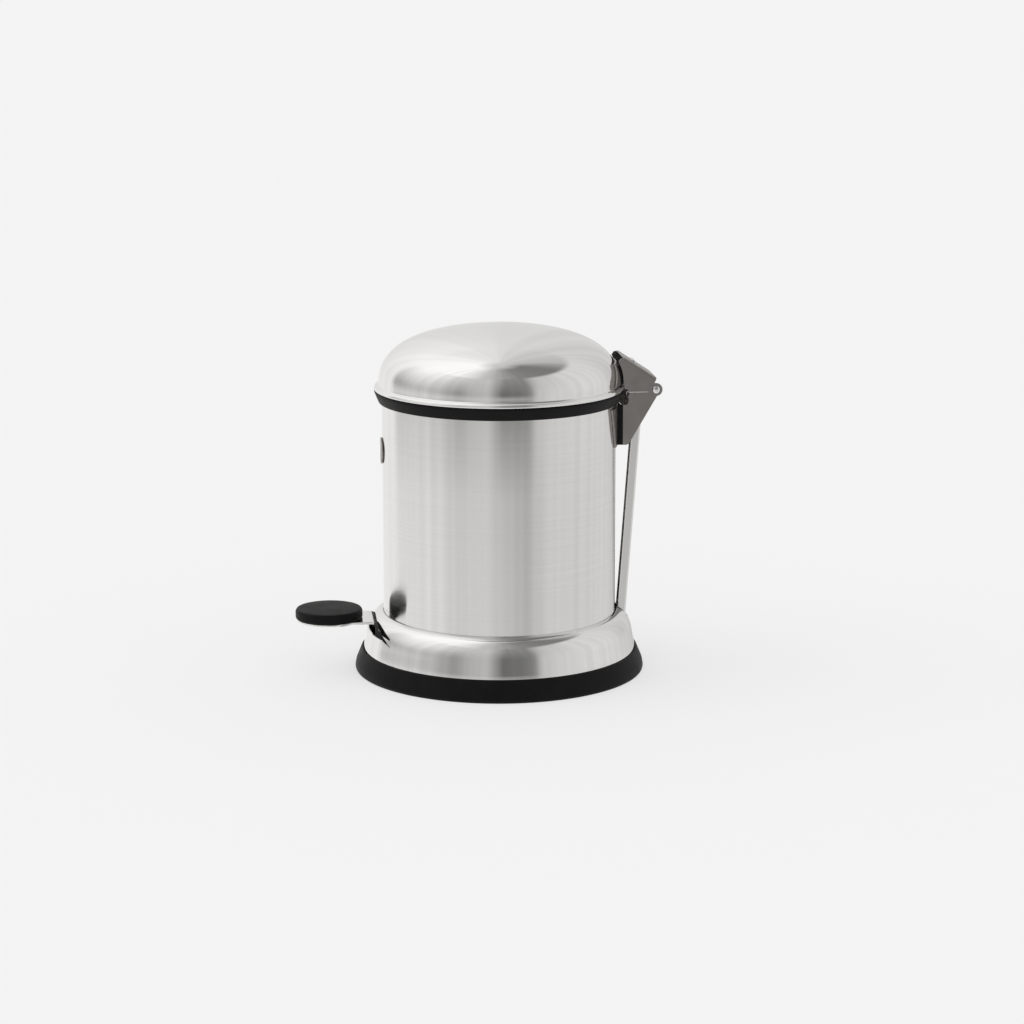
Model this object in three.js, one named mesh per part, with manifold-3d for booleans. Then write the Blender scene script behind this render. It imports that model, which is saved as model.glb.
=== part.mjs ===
// A small round pedal bin in sheet steel, seen as it comes apart on a bench.
// Millimetres. +Z is up and the pedal is at the front, towards -Y. Inside the file every piece is drawn
// about the body's own axis; the whole assembly is then moved along Y, so that its origin lies on the
// floor at the middle of its outline.
import * as THREE from "three";
import { mergeVertices } from "three/addons/utils/BufferGeometryUtils.js";
import Module from "manifold-3d";

const wasm = await Module();
wasm.setup();

// ---- driving dimensions ----------------------------------------------------------------------------
const GAP = 0.3; // left between touching pieces
const SHEET = 1.2; // thickness of the pressed steel
const ROUND = 48; // facets round the large turned pieces
const SMALL_ROUND = 12; // facets round pins and rivets

const BODY_R = 96.9;
const BODY_WALL = 1.0;
const BODY_TOP = 228;

const RING_FOOT_R = 121; // rubber base ring
const RING_TOP_R = 115.5;
const RING_TOP = 18;
const SHROUD_R = 113.8; // pressed shoulder of the base
const SHROUD_TOP = 49.5;
const FLOOR_R = 106.4; // floor plate inside the shoulder
const FLOOR_Z = 39;

const SEAL_BOTTOM = 226.2; // rubber seal under the lid's rim
const SEAL_TOP = 236.3;
const SEAL_R = 103.3;
const DOME_R = 99.5;
const DOME_BASE = 240.4;
const DOME_TOP = 288;
const DOME_FLAT = 2.49; // exponents of the dome's outline
const DOME_FULL = 2.4;

const HINGE_Y = 127.9;
const HINGE_Z = 236.1;
const EAR_R = 5.4;
const OUTER_PLATE_X = 20.4; // middle of the lid bracket's side plates
const INNER_PLATE_X = 18.6; // middle of the body bracket's side plates
const LID_SWING = 72; // degrees that the lid opens
const CRANK = 14.8; // from the hinge pin to the push rod's upper pin

const PEDAL_Y = -142.7;
const PAD_R = 28;
const PAD_BOTTOM = 45.3;
const PAD_TOP = 54;
const ARM_W = 40;
const LEVER_Y = -52;
const LEVER_Z = 22.5;
const LEVER_ARM = 153; // from the lever's axle to the push rod's lower pin
const LEVER_W = 24;
const LEVER_SHEET = 2;
const AXLE_R = 3;
const PIN_R = 2;

const ROD_W = 14;
const ROD_DEPTH = 6.8;
const ROD_SHEET = 1.5;
const TAB_X = 8.35; // middle of the crank's two tabs

const BUCKET_BOTTOM = 40.6;
const BUCKET_TOP = 214;
const BUCKET_TOP_R = 92;
const BAIL_Z = 216.5;
const BAIL_R = 90;
const BAIL_WIRE = 2;
const BAIL_EAR_X = 86.5;

const BADGE_Z = 186;
const BADGE_R = 10.9;
const BADGE_DEPTH = 1.1;

const RIVET_R = 1.5;
const RIVET_HOLE_R = 1.8;
const RIVET_HEAD_R = 3;
const RIVET_HEAD = 1.2; // height of a rivet's head
const PIN_HEAD_R = 3.2;
const THROUGH = 60; // length of a cutter that passes through the whole hinge or lever

// ---- worked-out places -----------------------------------------------------------------------------
const halfSwing = THREE.MathUtils.degToRad(LID_SWING / 2);
const rodTopY = HINGE_Y - CRANK * Math.cos(halfSwing);
const rodTopZ = HINGE_Z - CRANK * Math.sin(halfSwing);
const leverRest = Math.asin((CRANK * Math.sin(halfSwing)) / LEVER_ARM);
const rodFootY = LEVER_Y + LEVER_ARM * Math.cos(leverRest);
const rodFootZ = LEVER_Z - LEVER_ARM * Math.sin(leverRest);
const rodLength = Math.hypot(rodTopY - rodFootY, rodTopZ - rodFootZ);
const rodLean = Math.atan2(rodTopY - rodFootY, rodTopZ - rodFootZ);
const middleY = (PEDAL_Y - PAD_R + HINGE_Y + EAR_R) / 2;

// ---- materials -------------------------------------------------------------------------------------
const finish = (color, roughness, metalness) =>
  new THREE.MeshStandardMaterial({ color, roughness, metalness });
const polishedSteel = () => finish(0xd9d8d6, 0.08, 1);
const satinSteel = () => finish(0xc9c7c4, 0.3, 1);
const bracketSteel = () => finish(0x85807b, 0.38, 1);
const zincSteel = () => finish(0xa7a9aa, 0.45, 1);
const blackRubber = () => finish(0x151515, 0.7, 0);
const bucketGrey = () => finish(0x3a3b3c, 0.5, 0);

// ---- geometry helpers ------------------------------------------------------------------------------
// A closed solid from any closed three.js geometry: only positions count, and points at the poles of a
// turned piece are merged, so triangles that lose a side there are left out.
function solid(geometry) {
  const bare = geometry.index ? geometry.toNonIndexed() : geometry.clone();
  bare.deleteAttribute("normal");
  bare.deleteAttribute("uv");
  const merged = mergeVertices(bare, 1e-4);
  const vertProperties = new Float32Array(merged.attributes.position.array);
  const corners = merged.index.array;
  const kept = [];
  let volume = 0;
  const a = new THREE.Vector3();
  const b = new THREE.Vector3();
  const c = new THREE.Vector3();
  for (let i = 0; i < corners.length; i += 3) {
    const [p, q, r] = [corners[i], corners[i + 1], corners[i + 2]];
    if (p === q || q === r || r === p) continue;
    kept.push(p, q, r);
    a.fromArray(vertProperties, 3 * p);
    b.fromArray(vertProperties, 3 * q);
    c.fromArray(vertProperties, 3 * r);
    volume += a.dot(b.cross(c));
  }
  if (volume < 0) kept.reverse();
  const triVerts = new Uint32Array(kept);
  return new wasm.Manifold(new wasm.Mesh({ numProp: 3, vertProperties, triVerts }));
}

function geometryOf(manifold) {
  const mesh = manifold.getMesh();
  const geometry = new THREE.BufferGeometry();
  geometry.setAttribute("position", new THREE.BufferAttribute(new Float32Array(mesh.vertProperties), 3));
  geometry.setIndex(new THREE.BufferAttribute(new Uint32Array(mesh.triVerts), 1));
  geometry.computeVertexNormals();
  return geometry;
}

const join = (...solids) => solids.reduce((sum, next) => sum.add(next));
const cut = (from, ...cutters) => cutters.reduce((rest, next) => rest.subtract(next), from);

// A turned solid about Z from [radius, height] pairs. A ring's outline closes on itself.
function turned(outline, segments = ROUND) {
  const points = outline.map(([radius, height]) => new THREE.Vector2(radius, height));
  const onAxis = outline[0][0] === 0 && outline[outline.length - 1][0] === 0;
  if (!onAxis) points.push(points[0].clone());
  return solid(new THREE.LatheGeometry(points, segments).rotateX(Math.PI / 2));
}

function shapeOf(points) {
  return new THREE.Shape(points.map(([u, v]) => new THREE.Vector2(u, v)));
}

const extruded = (shape, depth) =>
  new THREE.ExtrudeGeometry(shape, { depth, bevelEnabled: false, curveSegments: 8 });

// A plate whose outline is drawn in the Y-Z plane, with its thickness along X about centreX.
function sidePlate(shape, thickness, centreX = 0) {
  const geometry = extruded(shape, thickness).translate(0, 0, -thickness / 2);
  const turn = new THREE.Matrix4().set(0, 0, 1, centreX, 1, 0, 0, 0, 0, 1, 0, 0, 0, 0, 0, 1);
  return solid(geometry.applyMatrix4(turn));
}

// A plate whose outline is drawn in the X-Z plane, reaching from y0 to y1.
function facingPlate(shape, y0, y1) {
  return solid(extruded(shape, y1 - y0).rotateX(Math.PI / 2).translate(0, y1, 0));
}

const box = (width, depth, height, x, y, z) =>
  solid(new THREE.BoxGeometry(width, depth, height).translate(x, y, z));

// Round bars along X, Y and Z.
const bar = (radius, length) => new THREE.CylinderGeometry(radius, radius, length, SMALL_ROUND);
const barX = (radius, length, x, y, z) =>
  solid(bar(radius, length).rotateZ(Math.PI / 2).translate(x, y, z));
const barY = (radius, length, x, y, z) =>
  solid(bar(radius, length).translate(x, y, z));
const barZ = (radius, length, x, y, z) =>
  solid(bar(radius, length).rotateX(Math.PI / 2).translate(x, y, z));

const bothSides = (make) => join(make(-1), make(1));

// The outline of a sheet of even thickness that follows a bent line.
function bentStrip(line, thickness) {
  const points = line.map(([u, v]) => new THREE.Vector2(u, v));
  const normals = points.slice(1).map((point, i) => {
    const step = point.clone().sub(points[i]).normalize();
    return new THREE.Vector2(-step.y, step.x);
  });
  const offset = (side) =>
    points.map((point, i) => {
      const before = normals[Math.max(i - 1, 0)];
      const after = normals[Math.min(i, normals.length - 1)];
      const mitre = before.clone().add(after).normalize();
      return point.clone().addScaledVector(mitre, (side * thickness) / 2 / mitre.dot(after));
    });
  return new THREE.Shape([...offset(1), ...offset(-1).reverse()]);
}

// A rivet or pin along Z about its middle, with a low rounded head at each end of its grip.
function rivet(shankR, headR, grip, headHeight) {
  const half = grip / 2;
  const upper = [
    [shankR, half],
    [headR, half],
    [headR * 0.85, half + headHeight * 0.7],
    [0, half + headHeight],
  ];
  const lower = upper.map(([radius, height]) => [radius, -height]).reverse();
  return geometryOf(turned([...lower, ...upper], SMALL_ROUND));
}

// Turns that lay a piece drawn along Z down along X or Y.
const layAlong = { x: [0, Math.PI / 2, 0], y: [Math.PI / 2, 0, 0] };

function piece(name, shape, material, position = [0, 0, 0], rotation = [0, 0, 0]) {
  const geometry = shape instanceof THREE.BufferGeometry ? shape : geometryOf(shape);
  const mesh = new THREE.Mesh(geometry, material);
  mesh.name = name;
  mesh.position.set(...position);
  mesh.rotation.set(...rotation);
  return mesh;
}

// ---- base ------------------------------------------------------------------------------------------
function baseRing() {
  const seatR = SHROUD_R + GAP;
  const innerR = 104;
  const seatZ = 3.3;
  return turned([
    [innerR, 0],
    [RING_FOOT_R - 1.2, 0],
    [RING_FOOT_R - 0.2, 1.2],
    [RING_FOOT_R, 3],
    [RING_FOOT_R - 0.9, 7],
    [RING_FOOT_R - 3.2, 12.5],
    [RING_TOP_R, RING_TOP],
    [seatR, RING_TOP],
    [seatR, seatZ],
    [innerR, seatZ],
  ]);
}

// The shoulder's pressed outline, from its foot to the edge round the body, moved inwards by inset.
function shroudLine(inset) {
  return [
    [SHROUD_R - inset, 3.6],
    [SHROUD_R - 0.2 - inset, 20],
    [111.9 - inset, 29 - 0.2 * inset],
    [109.8 - inset, 38 - 0.3 * inset],
    [107.4 - 0.85 * inset, 42.4 - 0.6 * inset],
    [104 - 0.6 * inset, 46.4 - 0.8 * inset],
    [100 - 0.3 * inset, 48.8 - inset],
    [BODY_R + GAP, SHROUD_TOP - inset],
  ];
}

// The crescent window that the pedal's arm comes out of.
function pedalWindow() {
  const halfWidth = 58;
  const tipZ = 32;
  const sillZ = 35.4;
  const arch = 14.6;
  const sillHalfWidth = 44;
  const shape = new THREE.Shape();
  shape.moveTo(halfWidth, tipZ);
  shape.quadraticCurveTo(0, tipZ + 2 * arch, -halfWidth, tipZ);
  shape.lineTo(-sillHalfWidth, sillZ);
  shape.lineTo(sillHalfWidth, sillZ);
  return facingPlate(shape, -SHROUD_R - 10, -BODY_R + 15);
}

const rodNotchW = 19;
function baseShroud() {
  const shell = turned([...shroudLine(0), ...shroudLine(SHEET).reverse()]);
  const rodNotch = box(rodNotchW, 20, 20, 0, BODY_R + 1.6, SHROUD_TOP - 5);
  return cut(shell, pedalWindow(), rodNotch);
}

const bracketRivetSpots = [
  [-8, LEVER_Y - 9],
  [8, LEVER_Y - 9],
  [-8, LEVER_Y + 9],
  [8, LEVER_Y + 9],
];

function floorPlate() {
  const disc = turned([
    [0, FLOOR_Z],
    [FLOOR_R, FLOOR_Z],
    [FLOOR_R, FLOOR_Z + SHEET],
    [0, FLOOR_Z + SHEET],
  ]);
  const armNotch = box(ARM_W + 8, 30, 8, 0, -FLOOR_R, FLOOR_Z);
  const rodNotch = box(rodNotchW, 20, 8, 0, BODY_R + 10.6, FLOOR_Z);
  const holes = bracketRivetSpots.map(([x, y]) => barZ(RIVET_HOLE_R, 8, x, y, FLOOR_Z));
  return cut(disc, armNotch, rodNotch, ...holes);
}

// ---- body ------------------------------------------------------------------------------------------
const bodyRivetX = 10;
const bodyRivetHeights = [200, 217];

function bodyRivetHoles() {
  const holes = [];
  for (const height of bodyRivetHeights) {
    for (const side of [-1, 1]) holes.push(barY(RIVET_HOLE_R, 16, side * bodyRivetX, BODY_R, height));
  }
  return holes;
}

function bodyShell() {
  const innerR = BODY_R - BODY_WALL;
  const foot = FLOOR_Z + SHEET + GAP;
  const rimR = innerR - 1;
  const shell = turned([
    [BODY_R, foot],
    [BODY_R, BODY_TOP],
    [rimR, BODY_TOP],
    [rimR, BODY_TOP - 1.5],
    [innerR, BODY_TOP - 1.5],
    [innerR, foot],
  ]);
  return cut(shell, ...bodyRivetHoles());
}

function badgeDisc() {
  return turned([
    [0, 0],
    [BADGE_R, 0],
    [BADGE_R, BADGE_DEPTH - 0.5],
    [BADGE_R - 0.5, BADGE_DEPTH],
    [0, BADGE_DEPTH],
  ], 24);
}

// ---- hinge bracket on the body ---------------------------------------------------------------------
const wingInner = BODY_R + 0.4;
const wingOuter = wingInner + SHEET;
const wingBottom = 190;
const wingTop = 223.5;

function lowerWing() {
  const sheet = turned([
    [wingInner, wingBottom],
    [wingOuter, wingBottom],
    [wingOuter, wingTop],
    [wingInner, wingTop],
  ]);
  const outline = shapeOf([
    [-31, wingBottom - 1],
    [31, wingBottom - 1],
    [43, wingTop + 1],
    [-43, wingTop + 1],
  ]);
  return sheet.intersect(facingPlate(outline, 60, 110));
}

function lowerSideShape() {
  const shape = new THREE.Shape();
  shape.moveTo(90, 190);
  shape.lineTo(101, 190);
  shape.quadraticCurveTo(105, 190.4, 107.2, 195);
  shape.lineTo(129.6, 231.4);
  shape.absarc(HINGE_Y, HINGE_Z, EAR_R - 0.3, THREE.MathUtils.degToRad(-50), THREE.MathUtils.degToRad(130));
  shape.lineTo(110, 235);
  shape.quadraticCurveTo(106, 233, 105.6, 228);
  shape.quadraticCurveTo(105.4, wingTop, 102, wingTop);
  shape.lineTo(90, wingTop);
  return shape;
}

function lowerBracket() {
  const overlap = 0.4; // how far the side plates reach into the wing, so that the two are one
  const wrapped = turned([
    [0, wingBottom - 5],
    [wingInner + overlap, wingBottom - 5],
    [wingInner + overlap, wingTop + 5],
    [0, wingTop + 5],
  ]);
  const plates = bothSides((side) => sidePlate(lowerSideShape(), SHEET, side * INNER_PLATE_X));
  const pinHole = barX(PIN_R + 0.6, THROUGH, 0, HINGE_Y, HINGE_Z);
  return cut(join(lowerWing(), cut(plates, wrapped)), pinHole, ...bodyRivetHoles());
}

// ---- lid -------------------------------------------------------------------------------------------
// The dome's outline from its foot to its crown, as [radius, height], moved outwards by offset.
function domeLine(offset, steps = 11) {
  const radius = DOME_R + offset;
  const rise = DOME_TOP + offset - DOME_BASE;
  const line = [];
  for (let i = 0; i <= steps; i += 1) {
    const t = Math.sin((i / steps) * (Math.PI / 2));
    const share = Math.pow(1 - Math.pow(t, DOME_FULL), 1 / DOME_FLAT);
    line.push([i === steps ? 0 : radius * share, DOME_BASE + rise * t]);
  }
  return line;
}

const lidRivetZ = 246.5;
const lidRivetX = 10;
const lidRivetHoles = () =>
  [-1, 1].map((side) => barY(RIVET_HOLE_R, 16, side * lidRivetX, DOME_R, lidRivetZ));

function lidDome() {
  const rimBottom = SEAL_TOP + GAP;
  const skin = turned([
    ...domeLine(-SHEET).reverse(),
    [DOME_R - SHEET, rimBottom],
    [SEAL_R - 0.1, rimBottom],
    [SEAL_R, rimBottom + 1],
    [SEAL_R - 0.7, rimBottom + 2.6],
    [SEAL_R - 2.3, rimBottom + 3.6],
    ...domeLine(0),
  ]);
  return cut(skin, ...lidRivetHoles());
}

function lidSeal() {
  const skirtR = BODY_R + 0.8;
  const lipR = 93.5;
  return turned([
    [skirtR, SEAL_BOTTOM],
    [99.3, SEAL_BOTTOM],
    [101.2, SEAL_BOTTOM + 4.5],
    [SEAL_R - 0.3, SEAL_TOP - 1],
    [SEAL_R - 0.6, SEAL_TOP],
    [lipR, SEAL_TOP],
    [lipR, BODY_TOP + 0.4],
    [skirtR, BODY_TOP + 0.4],
  ]);
}

// ---- hinge bracket on the lid ----------------------------------------------------------------------
const saddleBottom = 241.8;
const saddleTop = 264;
const webStart = [95.3, 267.5];
const webEnd = [127.2, 246.7];
const webAngle = Math.atan2(webEnd[1] - webStart[1], webEnd[0] - webStart[0]);
// A point at a distance along the sloping web and a distance below its upper face.
const onWeb = (along, below) => [
  webStart[0] + along * Math.cos(webAngle) + below * Math.sin(webAngle),
  webStart[1] + along * Math.sin(webAngle) - below * Math.cos(webAngle),
];
const webLength = Math.hypot(webEnd[0] - webStart[0], webEnd[1] - webStart[1]);
const crankRivetAlong = 19;
const crankRivetX = 4;

function saddle() {
  const sheet = turned([[0, DOME_BASE], ...domeLine(1.6)]).subtract(turned([[0, 200], ...belowDome(0.4)]));
  const outline = shapeOf([
    [-42, saddleBottom],
    [42, saddleBottom],
    [24, saddleTop],
    [-24, saddleTop],
  ]);
  return sheet.intersect(facingPlate(outline, 50, 110));
}

// The space that the dome fills, with its wall carried straight down below its foot.
function belowDome(offset) {
  return [[DOME_R + offset, 200], ...domeLine(offset)];
}

function upperSideShape() {
  const seam = 231.2;
  const notchR = 3;
  const shape = new THREE.Shape();
  shape.moveTo(104.2, seam);
  shape.lineTo(104.2, saddleBottom - notchR);
  shape.quadraticCurveTo(104.2, saddleBottom, 101, saddleBottom);
  shape.lineTo(80, saddleBottom);
  shape.lineTo(80, 259);
  shape.lineTo(98.2, 262);
  shape.lineTo(...onWeb(3, 0.6));
  shape.lineTo(...webEnd);
  shape.lineTo(126.4, 241.4);
  shape.absarc(HINGE_Y, HINGE_Z, EAR_R, THREE.MathUtils.degToRad(100), THREE.MathUtils.degToRad(-100), true);
  return shape;
}

function crankRivetHoles() {
  const [y, z] = onWeb(crankRivetAlong, SHEET);
  return [-1, 1].map((side) => {
    const hole = bar(RIVET_HOLE_R, 14);
    return solid(hole.rotateX(Math.PI / 2).rotateX(webAngle).translate(side * crankRivetX, y, z));
  });
}

function upperBracket() {
  const plates = bothSides((side) => sidePlate(upperSideShape(), SHEET, side * OUTER_PLATE_X));
  const trimmed = cut(plates, turned([[0, 200], ...belowDome(0.9)]));
  const webShape = shapeOf([onWeb(0, 0), onWeb(webLength, 0), onWeb(webLength, SHEET), onWeb(0.8, SHEET)]);
  const web = sidePlate(webShape, 2 * OUTER_PLATE_X + SHEET);
  const pinHole = barX(PIN_R + 0.6, THROUGH, 0, HINGE_Y, HINGE_Z);
  return cut(join(saddle(), trimmed, web), pinHole, ...lidRivetHoles(), ...crankRivetHoles());
}

// The crank under the sloping web, whose two tabs carry the push rod's upper pin.
function lidCrank() {
  const eyeR = 4.2;
  const tab = new THREE.Shape();
  tab.moveTo(...onWeb(13, SHEET + GAP));
  tab.lineTo(...onWeb(25, SHEET + GAP));
  tab.lineTo(rodTopY + eyeR, rodTopZ + 3);
  tab.absarc(rodTopY, rodTopZ, eyeR, 0.6, -Math.PI, true);
  tab.lineTo(105.6, 250);
  const bridge = shapeOf([
    onWeb(13, SHEET + GAP),
    onWeb(25, SHEET + GAP),
    onWeb(25, SHEET + GAP + ROD_SHEET),
    onWeb(13, SHEET + GAP + ROD_SHEET),
  ]);
  const tabs = bothSides((side) => sidePlate(tab, ROD_SHEET, side * TAB_X));
  const plate = sidePlate(bridge, 2 * TAB_X + ROD_SHEET);
  const pinHole = barX(PIN_R + GAP, THROUGH, 0, rodTopY, rodTopZ);
  return cut(join(tabs, plate), pinHole, ...crankRivetHoles());
}

// ---- pedal lever and push rod ----------------------------------------------------------------------
function pedalLever() {
  const plateZ = PAD_BOTTOM - GAP - LEVER_SHEET / 2;
  const plate = solid(
    new THREE.CylinderGeometry(PAD_R - 1, PAD_R - 1, LEVER_SHEET, 32).rotateX(Math.PI / 2)
      .translate(0, PEDAL_Y, plateZ));
  const armLine = [
    [PEDAL_Y + 10, plateZ],
    [-108, plateZ],
    [-104, plateZ - 1],
    [-95.5, 35],
    [-86, 30.9],
    [LEVER_Y - 16, 29.4],
  ];
  const arm = sidePlate(bentStrip(armLine, LEVER_SHEET), ARM_W);
  const arrow = shapeOf([
    [-30, -200],
    [30, -200],
    [30, -84],
    [LEVER_W / 2, LEVER_Y - 22],
    [LEVER_W / 2, 0],
    [-LEVER_W / 2, 0],
    [-LEVER_W / 2, LEVER_Y - 22],
    [-30, -84],
  ]);
  const plan = solid(extruded(arrow, 80));

  const depth = 5.5;
  const front = -24;
  const flange = new THREE.Shape();
  flange.moveTo(front, depth + 1);
  flange.lineTo(front, 0);
  flange.lineTo(front + 12, -depth);
  flange.lineTo(LEVER_ARM, -depth);
  flange.absarc(LEVER_ARM, 0, depth, -Math.PI / 2, Math.PI / 2);
  flange.lineTo(LEVER_ARM - 14, depth + 1);
  const flanges = bothSides((side) =>
    sidePlate(flange, LEVER_SHEET, (side * (LEVER_W - LEVER_SHEET)) / 2));
  const webSpan = LEVER_ARM - 14 - front;
  const web = box(LEVER_W, webSpan, LEVER_SHEET, 0, front + webSpan / 2, depth + 1);
  const axleHole = barX(AXLE_R + GAP, THROUGH, 0, 0, 0);
  const pinHole = barX(PIN_R + GAP, THROUGH, 0, LEVER_ARM, 0);
  const beam = cut(join(flanges, web), axleHole, pinHole)
    .rotate([THREE.MathUtils.radToDeg(-leverRest), 0, 0])
    .translate([0, LEVER_Y, LEVER_Z]);
  return join(plate, arm.intersect(plan), beam);
}

function pedalPad() {
  return turned([
    [0, PAD_BOTTOM],
    [PAD_R - 1, PAD_BOTTOM],
    [PAD_R, PAD_BOTTOM + 1],
    [PAD_R, PAD_TOP - 2.5],
    [PAD_R - 0.8, PAD_TOP - 1],
    [PAD_R - 2.6, PAD_TOP - 0.3],
    [0, PAD_TOP],
  ], 36).translate([0, PEDAL_Y, 0]);
}

function leverBracket() {
  const top = FLOOR_Z - GAP;
  const earX = LEVER_W / 2 + 3.75;
  const ear = new THREE.Shape();
  ear.moveTo(LEVER_Y - 14, top);
  ear.lineTo(LEVER_Y - 6, LEVER_Z);
  ear.absarc(LEVER_Y, LEVER_Z, 6, Math.PI, 2 * Math.PI);
  ear.lineTo(LEVER_Y + 14, top);
  const ears = bothSides((side) => sidePlate(ear, ROD_SHEET, side * earX));
  const plate = box(2 * earX + ROD_SHEET, 28, ROD_SHEET, 0, LEVER_Y, top - ROD_SHEET / 2);
  const holes = bracketRivetSpots.map(([x, y]) => barZ(RIVET_HOLE_R, 8, x, y, top));
  const axleHole = barX(AXLE_R + GAP, THROUGH, 0, LEVER_Y, LEVER_Z);
  return cut(join(ears, plate), axleHole, ...holes);
}

function leverAxle(length) {
  const chamfer = 0.6;
  return turned([
    [0, -length / 2 - chamfer],
    [AXLE_R - chamfer, -length / 2 - chamfer],
    [AXLE_R, -length / 2],
    [AXLE_R, length / 2],
    [AXLE_R - chamfer, length / 2 + chamfer],
    [0, length / 2 + chamfer],
  ], SMALL_ROUND);
}

function axleClip() {
  return turned([
    [AXLE_R + GAP, -0.6],
    [6, -0.6],
    [6, 0.6],
    [AXLE_R + GAP, 0.6],
  ], SMALL_ROUND);
}

// The push rod stands along local Z from its lower pin to its upper pin. Its open side faces the body.
function pushRod() {
  const half = ROD_DEPTH / 2;
  const flangeX = (ROD_W - ROD_SHEET) / 2;
  const slotBack = 0.3;
  const slotFront = -3.7;
  const slot = (radius) => {
    const shape = new THREE.Shape();
    shape.absarc(slotBack, rodLength, radius, -Math.PI / 2, Math.PI / 2);
    shape.absarc(slotFront, rodLength, radius, Math.PI / 2, (3 * Math.PI) / 2);
    return shape;
  };
  const strip = shapeOf([
    [-half, 0],
    [half, 0],
    [half, rodLength],
    [-half, rodLength],
  ]);
  const eye = new THREE.Shape().absarc(0, 0, 4.6, 0, 2 * Math.PI);
  const flange = (side) =>
    join(
      sidePlate(strip, ROD_SHEET, side * flangeX),
      sidePlate(eye, ROD_SHEET, side * flangeX),
      sidePlate(slot(4.8), ROD_SHEET, side * flangeX));
  const backLength = rodLength - 20;
  const back = box(ROD_W, ROD_SHEET, backLength, 0, half - ROD_SHEET / 2, rodLength / 2);
  return cut(
    join(bothSides(flange), back),
    barX(PIN_R + GAP, THROUGH, 0, 0, 0),
    sidePlate(slot(PIN_R + 0.4), THROUGH));
}

// ---- inner bucket ----------------------------------------------------------------------------------
const earRivetZ = 203;
const earRivetHoles = () => [-1, 1].map((side) => barX(RIVET_HOLE_R, 20, side * BAIL_EAR_X, 0, earRivetZ));

function innerBucket() {
  const pan = turned([
    [0, 44.5],
    [79, 44.5],
    [80, BUCKET_BOTTOM],
    [83, BUCKET_BOTTOM],
    [84, 44],
    [BUCKET_TOP_R - 1.8, BUCKET_TOP - 3],
    [BUCKET_TOP_R, BUCKET_TOP - 2.5],
    [BUCKET_TOP_R, BUCKET_TOP],
    [BUCKET_TOP_R - 3.4, BUCKET_TOP],
    [82.8, 46],
    [0, 46],
  ]);
  return cut(pan, ...earRivetHoles());
}

function bailEar(side) {
  const shape = new THREE.Shape();
  shape.moveTo(-6, 197);
  shape.lineTo(6, 197);
  shape.lineTo(6, BAIL_Z);
  shape.absarc(0, BAIL_Z, 6, 0, Math.PI);
  const plate = sidePlate(shape, ROD_SHEET, side * BAIL_EAR_X);
  return cut(plate, barX(BAIL_WIRE + GAP, 20, side * BAIL_EAR_X, 0, BAIL_Z), ...earRivetHoles());
}

// A half hoop of wire that lies on the bucket's rim, with its two ends turned in through the ears.
function bailHandle() {
  const hoop = new THREE.CatmullRomCurve3(
    Array.from({ length: 17 }, (unused, i) => {
      const angle = (i / 16) * Math.PI;
      return new THREE.Vector3(BAIL_R * Math.cos(angle), BAIL_R * Math.sin(angle), BAIL_Z);
    }));
  const section = new THREE.Shape().absarc(0, 0, BAIL_WIRE, 0, 2 * Math.PI);
  const wire = new THREE.ExtrudeGeometry(section, { extrudePath: hoop, steps: 24, curveSegments: 4 });
  const ends = bothSides((side) => barX(BAIL_WIRE, 9, side * (BAIL_R + BAIL_WIRE - 4.7), 0, BAIL_Z));
  return join(solid(wire), ends);
}

// ---- assembly --------------------------------------------------------------------------------------
const bin = new THREE.Group();
bin.position.y = -middleY;

const base = new THREE.Group();
base.add(piece("base_ring", baseRing(), blackRubber()));
base.add(piece("base_shroud", baseShroud(), polishedSteel()));
base.add(piece("floor_plate", floorPlate(), bucketGrey()));
base.add(piece("lever_bracket", leverBracket(), zincSteel()));
bracketRivetSpots.forEach(([x, y], i) => {
  const grip = SHEET + GAP + ROD_SHEET + 2 * GAP;
  const middle = FLOOR_Z + SHEET + GAP - grip / 2;
  const shape = rivet(RIVET_R, RIVET_HEAD_R, grip, RIVET_HEAD);
  base.add(piece(`bracket_rivet_${i + 1}`, shape, zincSteel(), [x, y, middle]));
});
base.add(piece("lever_axle", leverAxle(LEVER_W + 14), zincSteel(),
  [0, LEVER_Y, LEVER_Z], layAlong.x));
for (const [name, side] of [["left", -1], ["right", 1]]) {
  const clipX = side * (LEVER_W / 2 + 5.5);
  base.add(piece(`axle_clip_${name}`, axleClip(), zincSteel(), [clipX, LEVER_Y, LEVER_Z], layAlong.x));
}

const body = new THREE.Group();
body.add(piece("body_shell", bodyShell(), satinSteel()));
body.add(piece("badge_disc", badgeDisc(), bracketSteel(), [0, -BODY_R - GAP, BADGE_Z], layAlong.y));
body.add(piece("hinge_lower_bracket", lowerBracket(), bracketSteel()));
bodyRivetHeights.forEach((height, row) => {
  for (const side of [-1, 1]) {
    const name = `body_rivet_${2 * row + (side > 0 ? 2 : 1)}`;
    const place = [side * bodyRivetX, wingOuter - 1.8, height];
    body.add(piece(name, rivet(RIVET_R, RIVET_HEAD_R, 4.2, RIVET_HEAD), zincSteel(), place, layAlong.y));
  }
});
const hingeGrip = 2 * OUTER_PLATE_X + SHEET + 2 * GAP;
body.add(piece("hinge_pin", rivet(PIN_R + 0.3, PIN_HEAD_R, hingeGrip, 1.4), polishedSteel(),
  [0, HINGE_Y, HINGE_Z], layAlong.x));

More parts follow.
